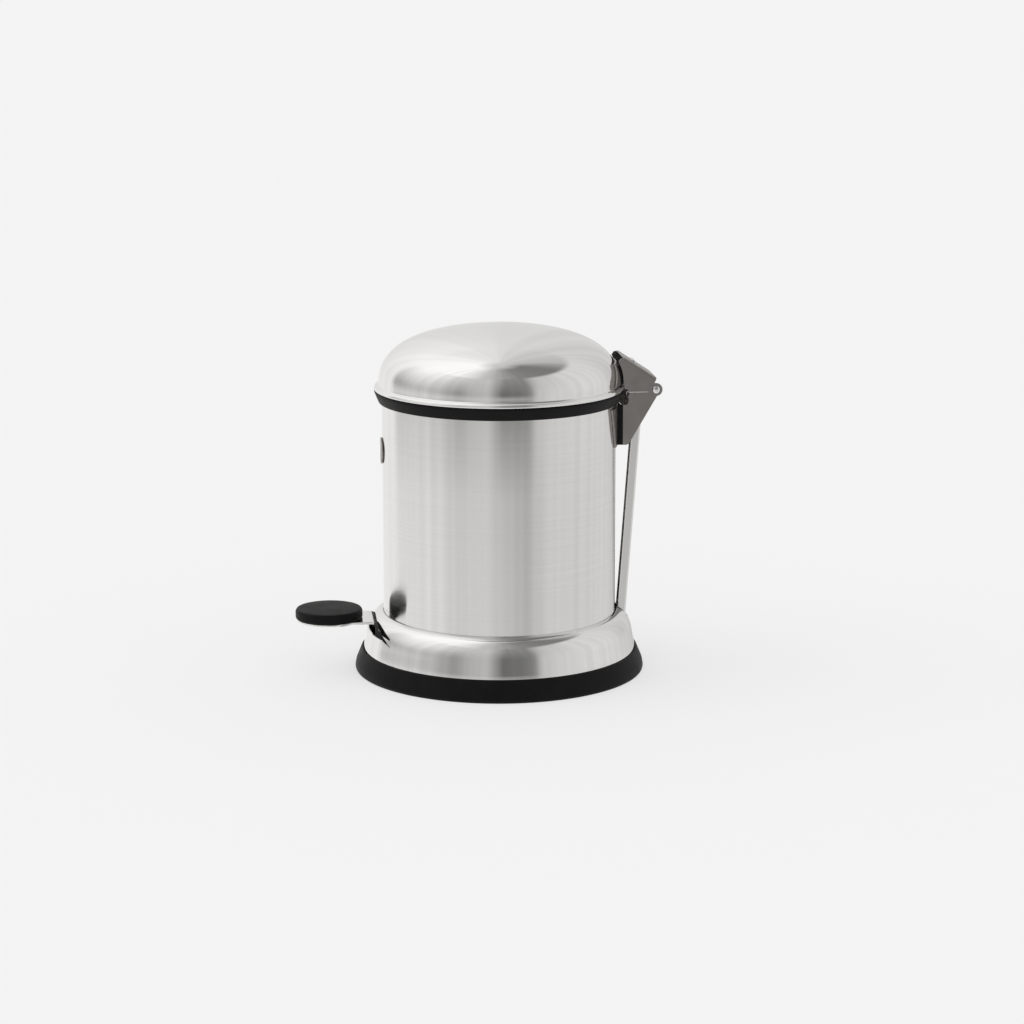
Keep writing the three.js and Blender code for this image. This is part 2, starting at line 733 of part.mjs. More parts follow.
const lid = new THREE.Group();
lid.add(piece("lid_dome", lidDome(), polishedSteel()));
lid.add(piece("lid_seal", lidSeal(), blackRubber()));
lid.add(piece("hinge_upper_bracket", upperBracket(), bracketSteel()));
lid.add(piece("lid_crank", lidCrank(), zincSteel()));
for (const [name, side] of [["1", -1], ["2", 1]]) {
  const lidPlace = [side * lidRivetX, DOME_R - 0.75, lidRivetZ];
  const lidRivet = rivet(RIVET_R, RIVET_HEAD_R, 5.2, RIVET_HEAD);
  lid.add(piece(`lid_rivet_${name}`, lidRivet, zincSteel(), lidPlace, layAlong.y));
  const [y, z] = onWeb(crankRivetAlong, SHEET + GAP / 2);
  const grip = SHEET + ROD_SHEET + 3 * GAP;
  lid.add(piece(`crank_rivet_${name}`, rivet(RIVET_R, RIVET_HEAD_R, grip, 1), zincSteel(),
    [side * crankRivetX, y, z + 0.1], [webAngle, 0, 0]));
}
lid.add(piece("rod_top_pin", rivet(PIN_R, PIN_HEAD_R, 2 * TAB_X + ROD_SHEET + 2 * GAP, 0.8), zincSteel(),
  [0, rodTopY, rodTopZ], layAlong.x));

const pedal = new THREE.Group();
pedal.add(piece("pedal_lever", pedalLever(), polishedSteel()));
pedal.add(piece("pedal_pad", pedalPad(), blackRubber()));
pedal.add(piece("rod_lower_pin", rivet(PIN_R, PIN_HEAD_R, LEVER_W + 2 * GAP, 0.8), zincSteel(),
  [0, rodFootY, rodFootZ], layAlong.x));

const rod = new THREE.Group();
rod.position.set(0, rodFootY, rodFootZ);
rod.rotation.x = -rodLean;
rod.add(piece("push_rod", pushRod(), satinSteel()));

const bucket = new THREE.Group();
bucket.add(piece("inner_bucket", innerBucket(), bucketGrey()));
for (const [name, side] of [["left", -1], ["right", 1]]) {
  bucket.add(piece(`bail_ear_${name}`, bailEar(side), zincSteel()));
  const place = [side * (BAIL_EAR_X + 0.95), 0, earRivetZ];
  const earRivet = rivet(RIVET_R, RIVET_HEAD_R, 5.8, 0.8);
  bucket.add(piece(`ear_rivet_${name}`, earRivet, zincSteel(), place, layAlong.x));
}
bucket.add(piece("bail_handle", bailHandle(), zincSteel()));

bin.add(base, body, lid, pedal, rod, bucket);

export default bin;
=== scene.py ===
import math

import bmesh
import bpy
import numpy as np
from mathutils import Matrix, Vector


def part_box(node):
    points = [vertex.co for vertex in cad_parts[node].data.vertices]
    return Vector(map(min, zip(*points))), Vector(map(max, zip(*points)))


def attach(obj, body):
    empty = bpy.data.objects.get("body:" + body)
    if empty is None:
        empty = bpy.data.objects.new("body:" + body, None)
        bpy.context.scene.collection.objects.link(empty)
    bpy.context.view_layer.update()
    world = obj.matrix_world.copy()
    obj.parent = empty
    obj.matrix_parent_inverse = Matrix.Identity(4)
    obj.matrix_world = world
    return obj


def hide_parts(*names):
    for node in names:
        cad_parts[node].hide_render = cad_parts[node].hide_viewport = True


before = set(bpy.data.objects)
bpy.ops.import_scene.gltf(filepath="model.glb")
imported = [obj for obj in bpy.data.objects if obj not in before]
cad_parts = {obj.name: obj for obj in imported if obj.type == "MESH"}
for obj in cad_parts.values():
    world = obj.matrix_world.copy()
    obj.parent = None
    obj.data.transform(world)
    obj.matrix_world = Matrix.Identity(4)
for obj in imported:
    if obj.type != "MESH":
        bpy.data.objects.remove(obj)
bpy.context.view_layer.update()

# Shapes below are written in millimetres about the body's own upright axis: x to the side, a along
# the length of the bin (the pedal is at -a, the hinge at +a) and z up from the floor.
MM = 0.001
body_low, body_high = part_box("body_shell")
AXIS = Vector((0.0, (body_low.y + body_high.y) / 2, 0.0))


def span(node):
    """A CAD node's lowest and highest corner in those millimetres."""
    low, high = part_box(node)
    return (low - AXIS) / MM, (high - AXIS) / MM


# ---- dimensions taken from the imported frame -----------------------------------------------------
BODY_R = span("body_shell")[1].x
BODY_TOP = span("body_shell")[1].z
RING_R = span("base_ring")[1].x
RING_TOP = span("base_ring")[1].z
SHROUD_R = span("base_shroud")[1].x
SHROUD_TOP = span("base_shroud")[1].z
SEAL_R = span("lid_dome")[1].x
SEAL_BOTTOM, SEAL_TOP = span("lid_seal")[0].z, span("lid_seal")[1].z
DOME_TOP = span("lid_dome")[1].z
PAD_LOW, PAD_HIGH = span("pedal_pad")
PAD_R = PAD_HIGH.x
PAD_A = (PAD_LOW.y + PAD_HIGH.y) / 2
BUCKET_LOW, BUCKET_HIGH = span("inner_bucket")
PIN_LOW, PIN_HIGH = span("hinge_pin")
HINGE_A = (PIN_LOW.y + PIN_HIGH.y) / 2
HINGE_Z = (PIN_LOW.z + PIN_HIGH.z) / 2


def centre_of(node):
    low, high = span(node)
    return (low + high) / 2


ROD_TOP = centre_of("rod_top_pin")
ROD_FOOT = centre_of("rod_lower_pin")
AXLE = centre_of("lever_axle")
ROD_LENGTH = (ROD_TOP - ROD_FOOT).length
ROD_LEAN = math.atan2(ROD_TOP.y - ROD_FOOT.y, ROD_TOP.z - ROD_FOOT.z)

# ---- dimensions shared with the CAD source ------------------------------------------------------
SHEET = 1.2
# lid: a superellipse over a straight foot
DOME_R = 99.5
DOME_BASE = 240.4
DOME_FLAT = 2.49
DOME_FULL = 2.4
# hinge brackets: half widths of the outer and inner channel, plates on lid and body, sloping web
OUTER_X = 21.0
INNER_X = 19.2
EAR_R = 5.4
WING_R = 98.5
WING_BOTTOM = 190.0
WING_TOP = 223.5
WING_BOTTOM_HALF = 31.3
WING_TOP_HALF = 42.8
SADDLE_BOTTOM = 241.8
SADDLE_TOP = 259.0
SADDLE_BOTTOM_HALF = 41.8
SADDLE_TOP_HALF = 27.0
WEB_START = (95.3, 267.5)
WEB_END = (127.2, 246.7)
WEB_ANGLE = math.atan2(WEB_END[1] - WEB_START[1], WEB_END[0] - WEB_START[0])
WEB_LENGTH = math.hypot(WEB_END[0] - WEB_START[0], WEB_END[1] - WEB_START[1])
# window in the base for the pedal's arm
WINDOW_HALF = 58.0
WINDOW_TIP_Z = 32.0
WINDOW_SILL_Z = 35.4
WINDOW_SILL_HALF = 44.0
WINDOW_ARCH = 14.6
# pedal lever
LEVER_ARM = 153.0
LEVER_W = 24.0
LEVER_SHEET = 2.0
ARM_W = 40.0
# holes
PIN_HOLE_R = 2.6
AXLE_HOLE_R = 3.3
ROD_HOLE_R = 2.3
ROD_SLOT_R = 2.4

# ---- dimensions of the visual model alone -------------------------------------------------------
# small gap under the body's bracket plate, and the softening of sheet edges
SEATED = 0.08
SOFT_EDGE = 0.3
RIM_R = 1.0
# bright zinc lip under the lid bracket's side plates, a painted highlight on the seam, and black
# strips in the brackets' crevices that paint the shade there
LIP_Z = 234.0
HIGHLIGHT_LIP_R = 0.5
SHADE_BEAD_X = 19.0
SHADE_BEAD_W = 1.6
SHADE_BEAD_TOP = 256.0
# where the pedal's arm turns dark as painted shade inside the base, and the dark skirts under it,
# which paint more of that shade
SHADED_ARM_JOIN = -106.0
SHADE_SKIRT_OUTER = 19.6
SHADE_SKIRT_INNER = 18.2
BAIL_R = 1.95
BAIL_TAIL = 4.7
# reach of the tools that cut from side to side
THROUGH = 60
SIDES = (("left", -1), ("right", 1))

# faces round a turned piece
ROUND = 192
FINE_ROUND = 256
VIEW = math.radians(84.0)
TO_CAMERA = Vector((math.sin(VIEW), -math.cos(VIEW), 0.0))
TO_RIGHT = Vector((math.cos(VIEW), math.sin(VIEW), 0.0))


# ---- outlines -----------------------------------------------------------------------------------
def rounded(corners, steps=6):
    """An outline whose corners, given as (u, v) or (u, v, radius), are turned into arcs."""
    out = []
    count = len(corners)
    for i, corner in enumerate(corners):
        point = Vector(corner[:2])
        radius = corner[2] if len(corner) > 2 else 0.0
        back = Vector(corners[i - 1][:2]) - point
        ahead = Vector(corners[(i + 1) % count][:2]) - point
        if radius <= 0 or back.length < 1e-6 or ahead.length < 1e-6:
            out.append(tuple(point))
            continue
        half = back.angle(ahead) / 2
        reach = min(radius / math.tan(half), 0.48 * back.length, 0.48 * ahead.length)
        radius = reach * math.tan(half)
        bisector = (back.normalized() + ahead.normalized()).normalized()
        centre = point + bisector * (radius / math.sin(half))
        start = point + back.normalized() * reach - centre
        end = point + ahead.normalized() * reach - centre
        sweep = start.angle_signed(end)
        for k in range(steps + 1):
            turn = Matrix.Rotation(-sweep * k / steps, 2)
            out.append(tuple(centre + turn @ start))
    return out


def arc(centre, radius, start_deg, end_deg, steps=16):
    """Points on a circle, from one angle to another."""
    points = []
    for k in range(steps + 1):
        angle = math.radians(start_deg + (end_deg - start_deg) * k / steps)
        points.append((centre[0] + radius * math.cos(angle), centre[1] + radius * math.sin(angle)))
    return points


def spline(points, per_span=8):
    """A smooth curve through the points, with continuous curvature."""
    p = np.array(points, float)
    knots = np.concatenate([[0.0], np.cumsum(np.linalg.norm(np.diff(p, axis=0), axis=1))])
    gap = np.diff(knots)
    n = len(p)
    system = np.eye(n)
    right = np.zeros_like(p)
    for i in range(1, n - 1):
        system[i, i - 1:i + 2] = gap[i - 1], 2 * (gap[i - 1] + gap[i]), gap[i]
        right[i] = 6 * ((p[i + 1] - p[i]) / gap[i] - (p[i] - p[i - 1]) / gap[i - 1])
    bend = np.linalg.solve(system, right)
    out = []
    for i in range(n - 1):
        for k in range(per_span):
            s = k / per_span
            r = 1 - s
            value = r * p[i] + s * p[i + 1]
            value = value + gap[i] ** 2 / 6 * ((r ** 3 - r) * bend[i] + (s ** 3 - s) * bend[i + 1])
            out.append(tuple(value))
    return out + [tuple(p[-1])]


def offset_line(points, distance):
    """The same open line moved sideways, to its left when the distance is positive."""
    p = np.array(points, float)
    tangent = np.gradient(p, axis=0)
    tangent /= np.linalg.norm(tangent, axis=1)[:, None]
    normal = np.stack([-tangent[:, 1], tangent[:, 0]], axis=1)
    return [tuple(q) for q in p + normal * distance]


def dome_line(offset, steps):
    """The lid's outline from its foot to its crown, as (radius, height)."""
    radius = DOME_R + offset
    rise = DOME_TOP + offset - DOME_BASE
    line = []
    for i in range(steps + 1):
        t = math.sin(i / steps * math.pi / 2)
        share = max(0.0, 1 - t ** DOME_FULL) ** (1 / DOME_FLAT)
        line.append((0.0 if i == steps else radius * share, DOME_BASE + rise * t))
    return line


def dome_radius(height, offset):
    """The radius at a height of a dome that lies an offset outside the lid."""
    t = min(1.0, max(0.0, (height - DOME_BASE) / (DOME_TOP + offset - DOME_BASE)))
    return (DOME_R + offset) * (1 - t ** DOME_FULL) ** (1 / DOME_FLAT)


# ---- mesh helpers -------------------------------------------------------------------------------
def lathe(outline, segments=ROUND):
    """A ring or a capped solid turned about the upright axis from (radius, height) points."""
    bm = bmesh.new()
    rings = []
    for radius, height in outline:
        if radius < 1e-6:
            rings.append([bm.verts.new((0, 0, height))])
            continue
        ring = []
        for k in range(segments):
            angle = math.radians(360.0 * k / segments)
            ring.append(bm.verts.new((radius * math.cos(angle), radius * math.sin(angle), height)))
        rings.append(ring)
    solid = len(rings[0]) == 1 and len(rings[-1]) == 1
    for one, two in zip(rings, rings[1:] if solid else rings[1:] + rings[:1]):
        for k in range(segments):
            n = (k + 1) % segments
            if len(one) == 1:
                bm.faces.new((one[0], two[n], two[k]))
            elif len(two) == 1:
                bm.faces.new((one[k], one[n], two[0]))
            else:
                bm.faces.new((one[k], one[n], two[n], two[k]))
    bmesh.ops.recalc_face_normals(bm, faces=bm.faces)
    return bm


def prism(outline, start, end, plane="x"):
    """A solid whose outline is drawn as (a, z) and spans x, or as (x, z) and spans a, or as (x, a)
    and spans z."""
    order = {
        "x": lambda u, v, w: (w, u, v),
        "a": lambda u, v, w: (u, w, v),
        "z": lambda u, v, w: (u, v, w),
    }[plane]
    bm = bmesh.new()
    near = [bm.verts.new(order(u, v, start)) for u, v in outline]
    far = [bm.verts.new(order(u, v, end)) for u, v in outline]
    bm.faces.new(near)
    bm.faces.new(list(reversed(far)))
    count = len(near)
    for k in range(count):
        bm.faces.new((near[k], far[k], far[(k + 1) % count], near[(k + 1) % count]))
    bmesh.ops.recalc_face_normals(bm, faces=bm.faces)
    return bm


def cross_hole(centre, radius):
    """A round tool that cuts a hole from side to side, at an (a, z) point."""
    return prism(arc(centre, radius, 0, 345, 23), -THROUGH, THROUGH)


def grid_sheet(front, back):
    """A closed sheet between two grids of points with the same rows and columns."""
    bm = bmesh.new()
    rows, columns = len(front), len(front[0])
    one = [[bm.verts.new(p) for p in row] for row in front]
    two = [[bm.verts.new(p) for p in row] for row in back]
    for i in range(rows - 1):
        for j in range(columns - 1):
            bm.faces.new((one[i][j], one[i + 1][j], one[i + 1][j + 1], one[i][j + 1]))
            bm.faces.new((two[i][j], two[i][j + 1], two[i + 1][j + 1], two[i + 1][j]))
    rim = [(i, 0) for i in range(rows)] + [(rows - 1, j) for j in range(1, columns)]
    rim += [(i, columns - 1) for i in range(rows - 2, -1, -1)]
    rim += [(0, j) for j in range(columns - 2, 0, -1)]
    for (i, j), (k, m) in zip(rim, rim[1:] + rim[:1]):
        bm.faces.new((one[i][j], one[k][m], two[k][m], two[i][j]))
    bmesh.ops.recalc_face_normals(bm, faces=bm.faces)
    return bm


def moved(bm, matrix):
    bmesh.ops.transform(bm, matrix=matrix, verts=bm.verts)
    return bm


def loose_object(bm):
    mesh = bpy.data.meshes.new("scratch")
    bm.to_mesh(mesh)
    bm.free()
    thing = bpy.data.objects.new("scratch", mesh)
    bpy.context.scene.collection.objects.link(thing)
    return thing


def combined(first, *steps):
    """Exact boolean steps on closed meshes, each given as (operation, mesh)."""
    thing = loose_object(first)
    for operation, other in steps:
        tool = loose_object(other)
        step = thing.modifiers.new("step", "BOOLEAN")
        step.operation = operation
        step.solver = "EXACT"
        step.object = tool
        seen = thing.evaluated_get(bpy.context.evaluated_depsgraph_get())
        mesh = bpy.data.meshes.new_from_object(seen)
        thing.modifiers.clear()
        thing.data = mesh
        bpy.data.objects.remove(tool)
    bm = bmesh.new()
    bm.from_mesh(thing.data)
    bpy.data.objects.remove(thing)
    bmesh.ops.remove_doubles(bm, verts=bm.verts, dist=0.002)
    bmesh.ops.dissolve_degenerate(bm, edges=bm.edges, dist=0.002)
    return bm


def piece(name, bm, look, body, nodes=(), soften=0.0, sharp_deg=32.0, steps=2):
    """Puts a finished mesh in the scene, in metres in the shared frame, and ties it to a body."""
    for vert in bm.verts:
        vert.co = AXIS + vert.co * MM
    for face in bm.faces:
        face.smooth = True
    for edge in bm.edges:
        if len(edge.link_faces) == 2:
            edge.smooth = edge.calc_face_angle(0.0) < math.radians(sharp_deg)
    mesh = bpy.data.meshes.new(name)
    bm.to_mesh(mesh)
    bm.free()
    thing = bpy.data.objects.new(name, mesh)
    bpy.context.scene.collection.objects.link(thing)
    mesh.materials.append(LOOKS[look])
    if soften:
        bevel = thing.modifiers.new("edges", "BEVEL")
        bevel.width = soften * MM
        bevel.segments = steps
        bevel.limit_method = "ANGLE"
        bevel.angle_limit = math.radians(sharp_deg)
        bevel.harden_normals = True
    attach(thing, body)
    if nodes:
        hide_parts(*nodes)
    return thing


# A corner whose face turns further than this from the outline's slope belongs to a cut edge.
SKIN_COSINE = 0.93


def true_normals(thing, line):
    """Gives a turned piece the exact slope of its outline, also beside the holes cut in it."""
    p = np.array(line, float)
    slope = np.gradient(p, axis=0)
    slope /= np.linalg.norm(slope, axis=1)[:, None]
    mesh = thing.data
    exact = []
    for face in mesh.polygons:
        for index in face.loop_indices:
            where = (mesh.vertices[mesh.loops[index].vertex_index].co - AXIS) / MM
            radius = math.hypot(where.x, where.y)
            near = int(np.argmin((p[:, 0] - radius) ** 2 + (p[:, 1] - where.z) ** 2))
            across = Vector((slope[near][1], -slope[near][0]))
            normal = Vector((across.x * where.x / radius, across.x * where.y / radius, across.y))
            if normal.dot(face.normal) < 0:
                normal = -normal
            exact.append(normal if normal.dot(face.normal) > SKIN_COSINE else face.normal)
    mesh.normals_split_custom_set([tuple(n) for n in exact])


# ---- materials ----------------------------------------------------------------------------------
class Nodes:
    """Short names for building one material's node tree."""

    def __init__(self, name):
        self.material = bpy.data.materials.new(name)
        self.material.use_nodes = True
        self.tree = self.material.node_tree
        self.shader = next(n for n in self.tree.nodes if n.type == "BSDF_PRINCIPLED")
        self.place = self.add("ShaderNodeTexCoord").outputs["Object"]

    def add(self, kind, **values):
        node = self.tree.nodes.new(kind)
        for key, value in values.items():
            setattr(node, key, value)
        return node

    def link(self, source, target):
        self.tree.links.new(source, target)

    def scaled(self, scale):
        node = self.add("ShaderNodeMapping")
        node.inputs["Scale"].default_value = scale
        self.link(self.place, node.inputs["Vector"])
        return node.outputs["Vector"]

    def noise(self, scale, detail=3.0, stretch=(1, 1, 1), roughness=0.5):
        node = self.add("ShaderNodeTexNoise")
        node.inputs["Scale"].default_value = scale
        node.inputs["Detail"].default_value = detail
        node.inputs["Roughness"].default_value = roughness
        self.link(self.scaled(stretch), node.inputs["Vector"])
        return node.outputs["Fac"]

    def spread(self, source, low, high, from_low=0.3, from_high=0.7):
        node = self.add("ShaderNodeMapRange")
        node.inputs["From Min"].default_value = from_low
        node.inputs["From Max"].default_value = from_high
        node.inputs["To Min"].default_value = low
        node.inputs["To Max"].default_value = high
        self.link(source, node.inputs["Value"])
        return node.outputs["Result"]

    def mixed(self, fac, one, two):
        node = self.add("ShaderNodeMix", data_type="RGBA")
        node.inputs["A"].default_value = (*one, 1)
        node.inputs["B"].default_value = (*two, 1)
        self.link(fac, node.inputs["Factor"])
        return node.outputs["Result"]

    def math(self, operation, one, two):
        node = self.add("ShaderNodeMath", operation=operation)
        for socket, value in zip(node.inputs, (one, two)):
            if isinstance(value, (int, float)):
                socket.default_value = value
            else:
                self.link(value, socket)
        return node.outputs["Value"]

    def bump(self, height, distance, strength=1.0, over=None):
        node = self.add("ShaderNodeBump")
        node.inputs["Strength"].default_value = strength
        node.inputs["Distance"].default_value = distance
        self.link(height, node.inputs["Height"])
        if over is not None:
            self.link(over, node.inputs["Normal"])
        return node.outputs["Normal"]

    def set(self, **values):
        for key, value in values.items():
            socket = self.shader.inputs[key.replace("_", " ")]
            if isinstance(value, bpy.types.NodeSocket):
                self.link(value, socket)
            else:
                socket.default_value = value
        return self.material


def polished_steel():
    """Buffed to a mirror: faint cloudy haze, wiping scratches and very slight pressing waves."""
    n = Nodes("polished_steel")
    haze = n.noise(38, 4)
    scratches = n.noise(900, 2, (1.0, 1.0, 0.12))
    wiped = n.spread(scratches, 0.0, 0.03, 0.55, 0.8)
    rough = n.math("ADD", n.spread(haze, 0.028, 0.075), wiped)
    tint = n.mixed(haze, (0.835, 0.828, 0.818), (0.862, 0.857, 0.85))
    waves = n.bump(n.noise(16, 1), 0.00012, 0.35)
    return n.set(Base_Color=tint, Metallic=1.0, Roughness=rough, Normal=waves)


def satin_steel():
    """Brushed round the body: hairlines run level, so reflections are drawn out upwards."""
    n = Nodes("satin_steel")
    hair = n.noise(260, 3, (0.035, 0.035, 5.0), 0.6)
    long_hair = n.noise(40, 2, (0.10, 0.10, 14.0))
    cloud = n.noise(14, 3)
    both = n.math("ADD", n.math("MULTIPLY", hair, 0.6), n.math("MULTIPLY", long_hair, 0.4))
    share = n.spread(both, 0.0, 1.0, 0.38, 0.62)
    tint = n.mixed(share, (0.815, 0.807, 0.797), (0.845, 0.838, 0.829))
    rough = n.math("ADD", n.spread(both, 0.125, 0.15, 0.35, 0.65), n.spread(cloud, -0.01, 0.01))
    lines = n.bump(both, 0.0000012, 0.5)
    tangent = n.add("ShaderNodeTangent", direction_type="RADIAL", axis="Z").outputs["Tangent"]
    return n.set(
        Base_Color=tint, Metallic=1.0, Roughness=rough, Normal=lines, Tangent=tangent,
        Anisotropic=0.9, Anisotropic_Rotation=0.25,
    )


def bracket_steel():
    """Thicker pressed steel with a dull, close grain and a few darker rub marks."""
    n = Nodes("bracket_steel")
    grain = n.noise(420, 3, (1.0, 0.12, 1.0), 0.6)
    rub = n.noise(60, 3)
    cloud = n.noise(28, 4, roughness=0.6)
    share = n.spread(cloud, 0.0, 1.0, 0.32, 0.68)
    base = n.mixed(share, (0.27, 0.252, 0.238), (0.345, 0.328, 0.312))
    rough = n.math("ADD", n.spread(grain, 0.26, 0.36), n.spread(rub, -0.03, 0.05))
    lines = n.bump(grain, 0.00004, 0.5)
    return n.set(Base_Color=base, Metallic=1.0, Roughness=rough, Normal=lines)


def zinc_steel():
    """Zinc-plated fixings: soft crystals of light and dark over a fine speckle."""
    n = Nodes("zinc_steel")
    cells = n.add("ShaderNodeTexVoronoi")
    cells.inputs["Scale"].default_value = 330
    n.link(n.place, cells.inputs["Vector"])
    speckle = n.noise(700, 3)
    crystal = n.math("MULTIPLY", cells.outputs["Distance"], 0.8)
    shade = n.math("ADD", crystal, n.math("MULTIPLY", speckle, 0.5))
    base = n.mixed(n.spread(shade, 0.0, 1.0, 0.3, 0.8), (0.60, 0.605, 0.61), (0.74, 0.742, 0.74))
    rough = n.spread(speckle, 0.24, 0.40)
    skin = n.bump(speckle, 0.00005, 0.6)
    return n.set(Base_Color=base, Metallic=1.0, Roughness=rough, Normal=skin)


def rubber():
    """Black moulded rubber: fine matt grain, faint dust and slightly shinier where it is rubbed."""
    n = Nodes("rubber")
    grain = n.noise(1500, 3)
    mottle = n.noise(55, 4, roughness=0.6)
    base = n.mixed(n.spread(mottle, 0.0, 1.0), (0.0035, 0.0035, 0.0037), (0.0065, 0.0063, 0.0062))
    rough = n.math("ADD", n.spread(mottle, 0.46, 0.56), n.spread(grain, -0.03, 0.05))
    skin = n.bump(mottle, 0.0003, 0.15, over=n.bump(grain, 0.00008, 0.5))
    return n.set(Base_Color=base, Roughness=rough, Normal=skin, Specular_IOR_Level=0.12)


def bucket_plastic():
    """Dark grey moulded plastic with a spark-eroded grain."""
    n = Nodes("bucket_plastic")
    grain = n.noise(900, 2)
    cloud = n.noise(30, 3)
    base = n.mixed(n.spread(cloud, 0.0, 1.0), (0.034, 0.035, 0.036), (0.043, 0.044, 0.045))
    rough = n.spread(grain, 0.42, 0.58)
    return n.set(Base_Color=base, Roughness=rough, Normal=n.bump(grain, 0.00007, 0.6))


LOOKS = {
    "polished": polished_steel(),
    "satin": satin_steel(),
    "bracket": bracket_steel(),
    "zinc": zinc_steel(),
    "rubber": rubber(),
    "bucket": bucket_plastic(),
}


# ---- base ---------------------------------------------------------------------------------------
def base_ring():
    seat = SHROUD_R + 0.3
    outline = [
        (104, 0, 1.0),
        (RING_R - 0.7, 0, 1.2),
        (RING_R, 2.2, 2.0),
        (RING_R - 0.9, 7, 6.0),
        (RING_R - 3.2, 12.5, 6.0),
        (RING_R - 5.5, RING_TOP, 1.3),
        (seat, RING_TOP, 0.4),
        (seat, 3.3, 0.3),
        (104, 3.3, 0.6),
    ]
    piece("base_ring_rubber", lathe(rounded(outline)), "rubber", "bin", ["base_ring"])


def shroud_outer():
    """The pressed shoulder from its foot inside the rubber to its edge against the body."""
    return spline([
        (SHROUD_R, 3.6),
        (SHROUD_R - 0.2, 20),
        (111.9, 29),
        (109.8, 38),
        (107.4, 42.4),
        (104, 46.4),
        (100, 48.8),
        (BODY_R + 0.3, SHROUD_TOP),
    ])


def base_shroud():
    """The shoulder, with the pedal's window in front and a notch for the rod behind."""
    outer = shroud_outer()
    inner = offset_line(outer, SHEET)
    shell = lathe(outer + inner[::-1], FINE_ROUND)
    arch = []
    for k in range(41):
        s = k / 40
        x = WINDOW_HALF * (1 - 2 * s)
        arch.append((x, WINDOW_TIP_Z + 2 * (1 - s) * s * 2 * WINDOW_ARCH))
    corners = [(-WINDOW_SILL_HALF, WINDOW_SILL_Z), (WINDOW_SILL_HALF, WINDOW_SILL_Z)]
    window = prism(arch + corners, -SHROUD_R - 10, -BODY_R + 15, "a")
    half, inmost, outmost = 9.5, 88.5, 108.5
    rod_room = [(-half, inmost, 2), (half, inmost, 2), (half, outmost, 3), (-half, outmost, 3)]
    notch = prism(rounded(rod_room), 34.5, 54.5, "z")
    shoulder = combined(shell, ("DIFFERENCE", window), ("DIFFERENCE", notch))
    thing = piece("base_shoulder", shoulder, "polished", "bin", ["base_shroud"])
    true_normals(thing, outer)


# ---- body ---------------------------------------------------------------------------------------
def body_shell():
    low = span("body_shell")[0].z
    rim = arc((BODY_R - RIM_R, BODY_TOP - RIM_R), RIM_R, 0, 180, 10)
    inner = BODY_R - 1.0
    outline = [(BODY_R, low), (BODY_R, low + 60), (BODY_R, low + 120)] + rim
    outline += [(BODY_R - 2.0, BODY_TOP - 1.5), (inner, BODY_TOP - 2.2), (inner, low)]
    piece("body_tube", lathe(outline, FINE_ROUND), "satin", "bin", ["body_shell"])


def badge():
    """A plain round plate bent to the body, with a raised rim and a slightly dished face."""
    low, high = span("badge_disc")
    radius = (high.x - low.x) / 2
    depth = high.y - low.y
    outline = rounded([
        (0, 0.0),
        (radius, 0.0, 0.2),
        (radius, depth - 0.1, 0.4),
        (radius - 1.0, depth, 0.35),
        (radius - 1.8, depth - 0.45, 0.4),
        (radius * 0.4, depth - 0.4, 3.0),
        (0, depth - 0.35),
    ])
    disc = lathe(outline, 96)
    place = Matrix.Translation((0, high.y, (low.z + high.z) / 2))
    moved(disc, place @ Matrix.Rotation(math.pi / 2, 4, "X"))
    for vert in disc.verts:
        vert.co.y += BODY_R - math.sqrt(BODY_R ** 2 - vert.co.x ** 2)
    piece("badge_plate", disc, "bracket", "bin", ["badge_disc"])


# ---- lid ----------------------------------------------------------------------------------------
def lid_dome():
    rim = SEAL_TOP + 0.3
    curl = rounded([
        (DOME_R - SHEET, rim, 0.3),
        (SEAL_R - 0.3, rim, 0.6),
        (SEAL_R, rim + 1.2, 1.0),
        (SEAL_R - 0.7, rim + 2.6, 1.3),
        (SEAL_R - 2.1, rim + 3.5, 1.2),
        (DOME_R, DOME_BASE + 0.4, 0.9),
        (DOME_R + 0.01, DOME_BASE + 6),
    ], 5)[:-1]
    outer = curl + dome_line(0, 72)[3:]
    outline = [(0, DOME_TOP - SHEET)] + dome_line(-SHEET, 40)[-2::-1] + outer
    skin = lathe(outline, ROUND)
    piece("lid_dome_skin", skin, "polished", "lid", ["lid_dome"], sharp_deg=40)


def lid_seal():
    skirt = BODY_R + 0.8
    outline = rounded([
        (skirt, SEAL_BOTTOM, 0.4),
        (99.4, SEAL_BOTTOM, 1.0),
        (101.3, SEAL_BOTTOM + 4.5, 4.0),
        (SEAL_R - 0.2, SEAL_TOP - 1.2, 1.4),
        (SEAL_R - 1.0, SEAL_TOP, 0.5),
        (93.5, SEAL_TOP, 0.6),
        (93.5, BODY_TOP + 0.4, 0.6),
        (skirt, BODY_TOP + 0.4, 0.3),
    ])
    piece("lid_seal_rubber", lathe(outline), "rubber", "lid", ["lid_seal"])


# ---- hinge brackets -----------------------------------------------------------------------------
def on_web(along, below):
    """The (a, z) point at a distance along the lid bracket's sloping web and a depth below it."""
    cos, sin = math.cos(WEB_ANGLE), math.sin(WEB_ANGLE)
    return (WEB_START[0] + along * cos + below * sin, WEB_START[1] + along * sin - below * cos)


def wrap_plate(edges, radius_at, thickness, columns=40, rows=14):
    """A plate bent round the bin. edges gives (height, half width) from bottom to top, and
    radius_at its inner radius at a height."""
    heights = [h for h, _ in edges]
    widths = [w for _, w in edges]
    inside, outside = [], []
    for i in range(rows + 1):
        height = heights[0] + (heights[-1] - heights[0]) * i / rows
        half = float(np.interp(height, heights, widths))
        radius = radius_at(height)
        one, two = [], []
        for j in range(columns + 1):
            x = half * (2 * j / columns - 1)
            one.append((x, math.sqrt(radius ** 2 - x ** 2), height))
            scale = (radius + thickness) / radius
            two.append((x * scale, math.sqrt(radius ** 2 - x ** 2) * scale, height))
        inside.append(one)
        outside.append(two)
    return grid_sheet(inside, outside)


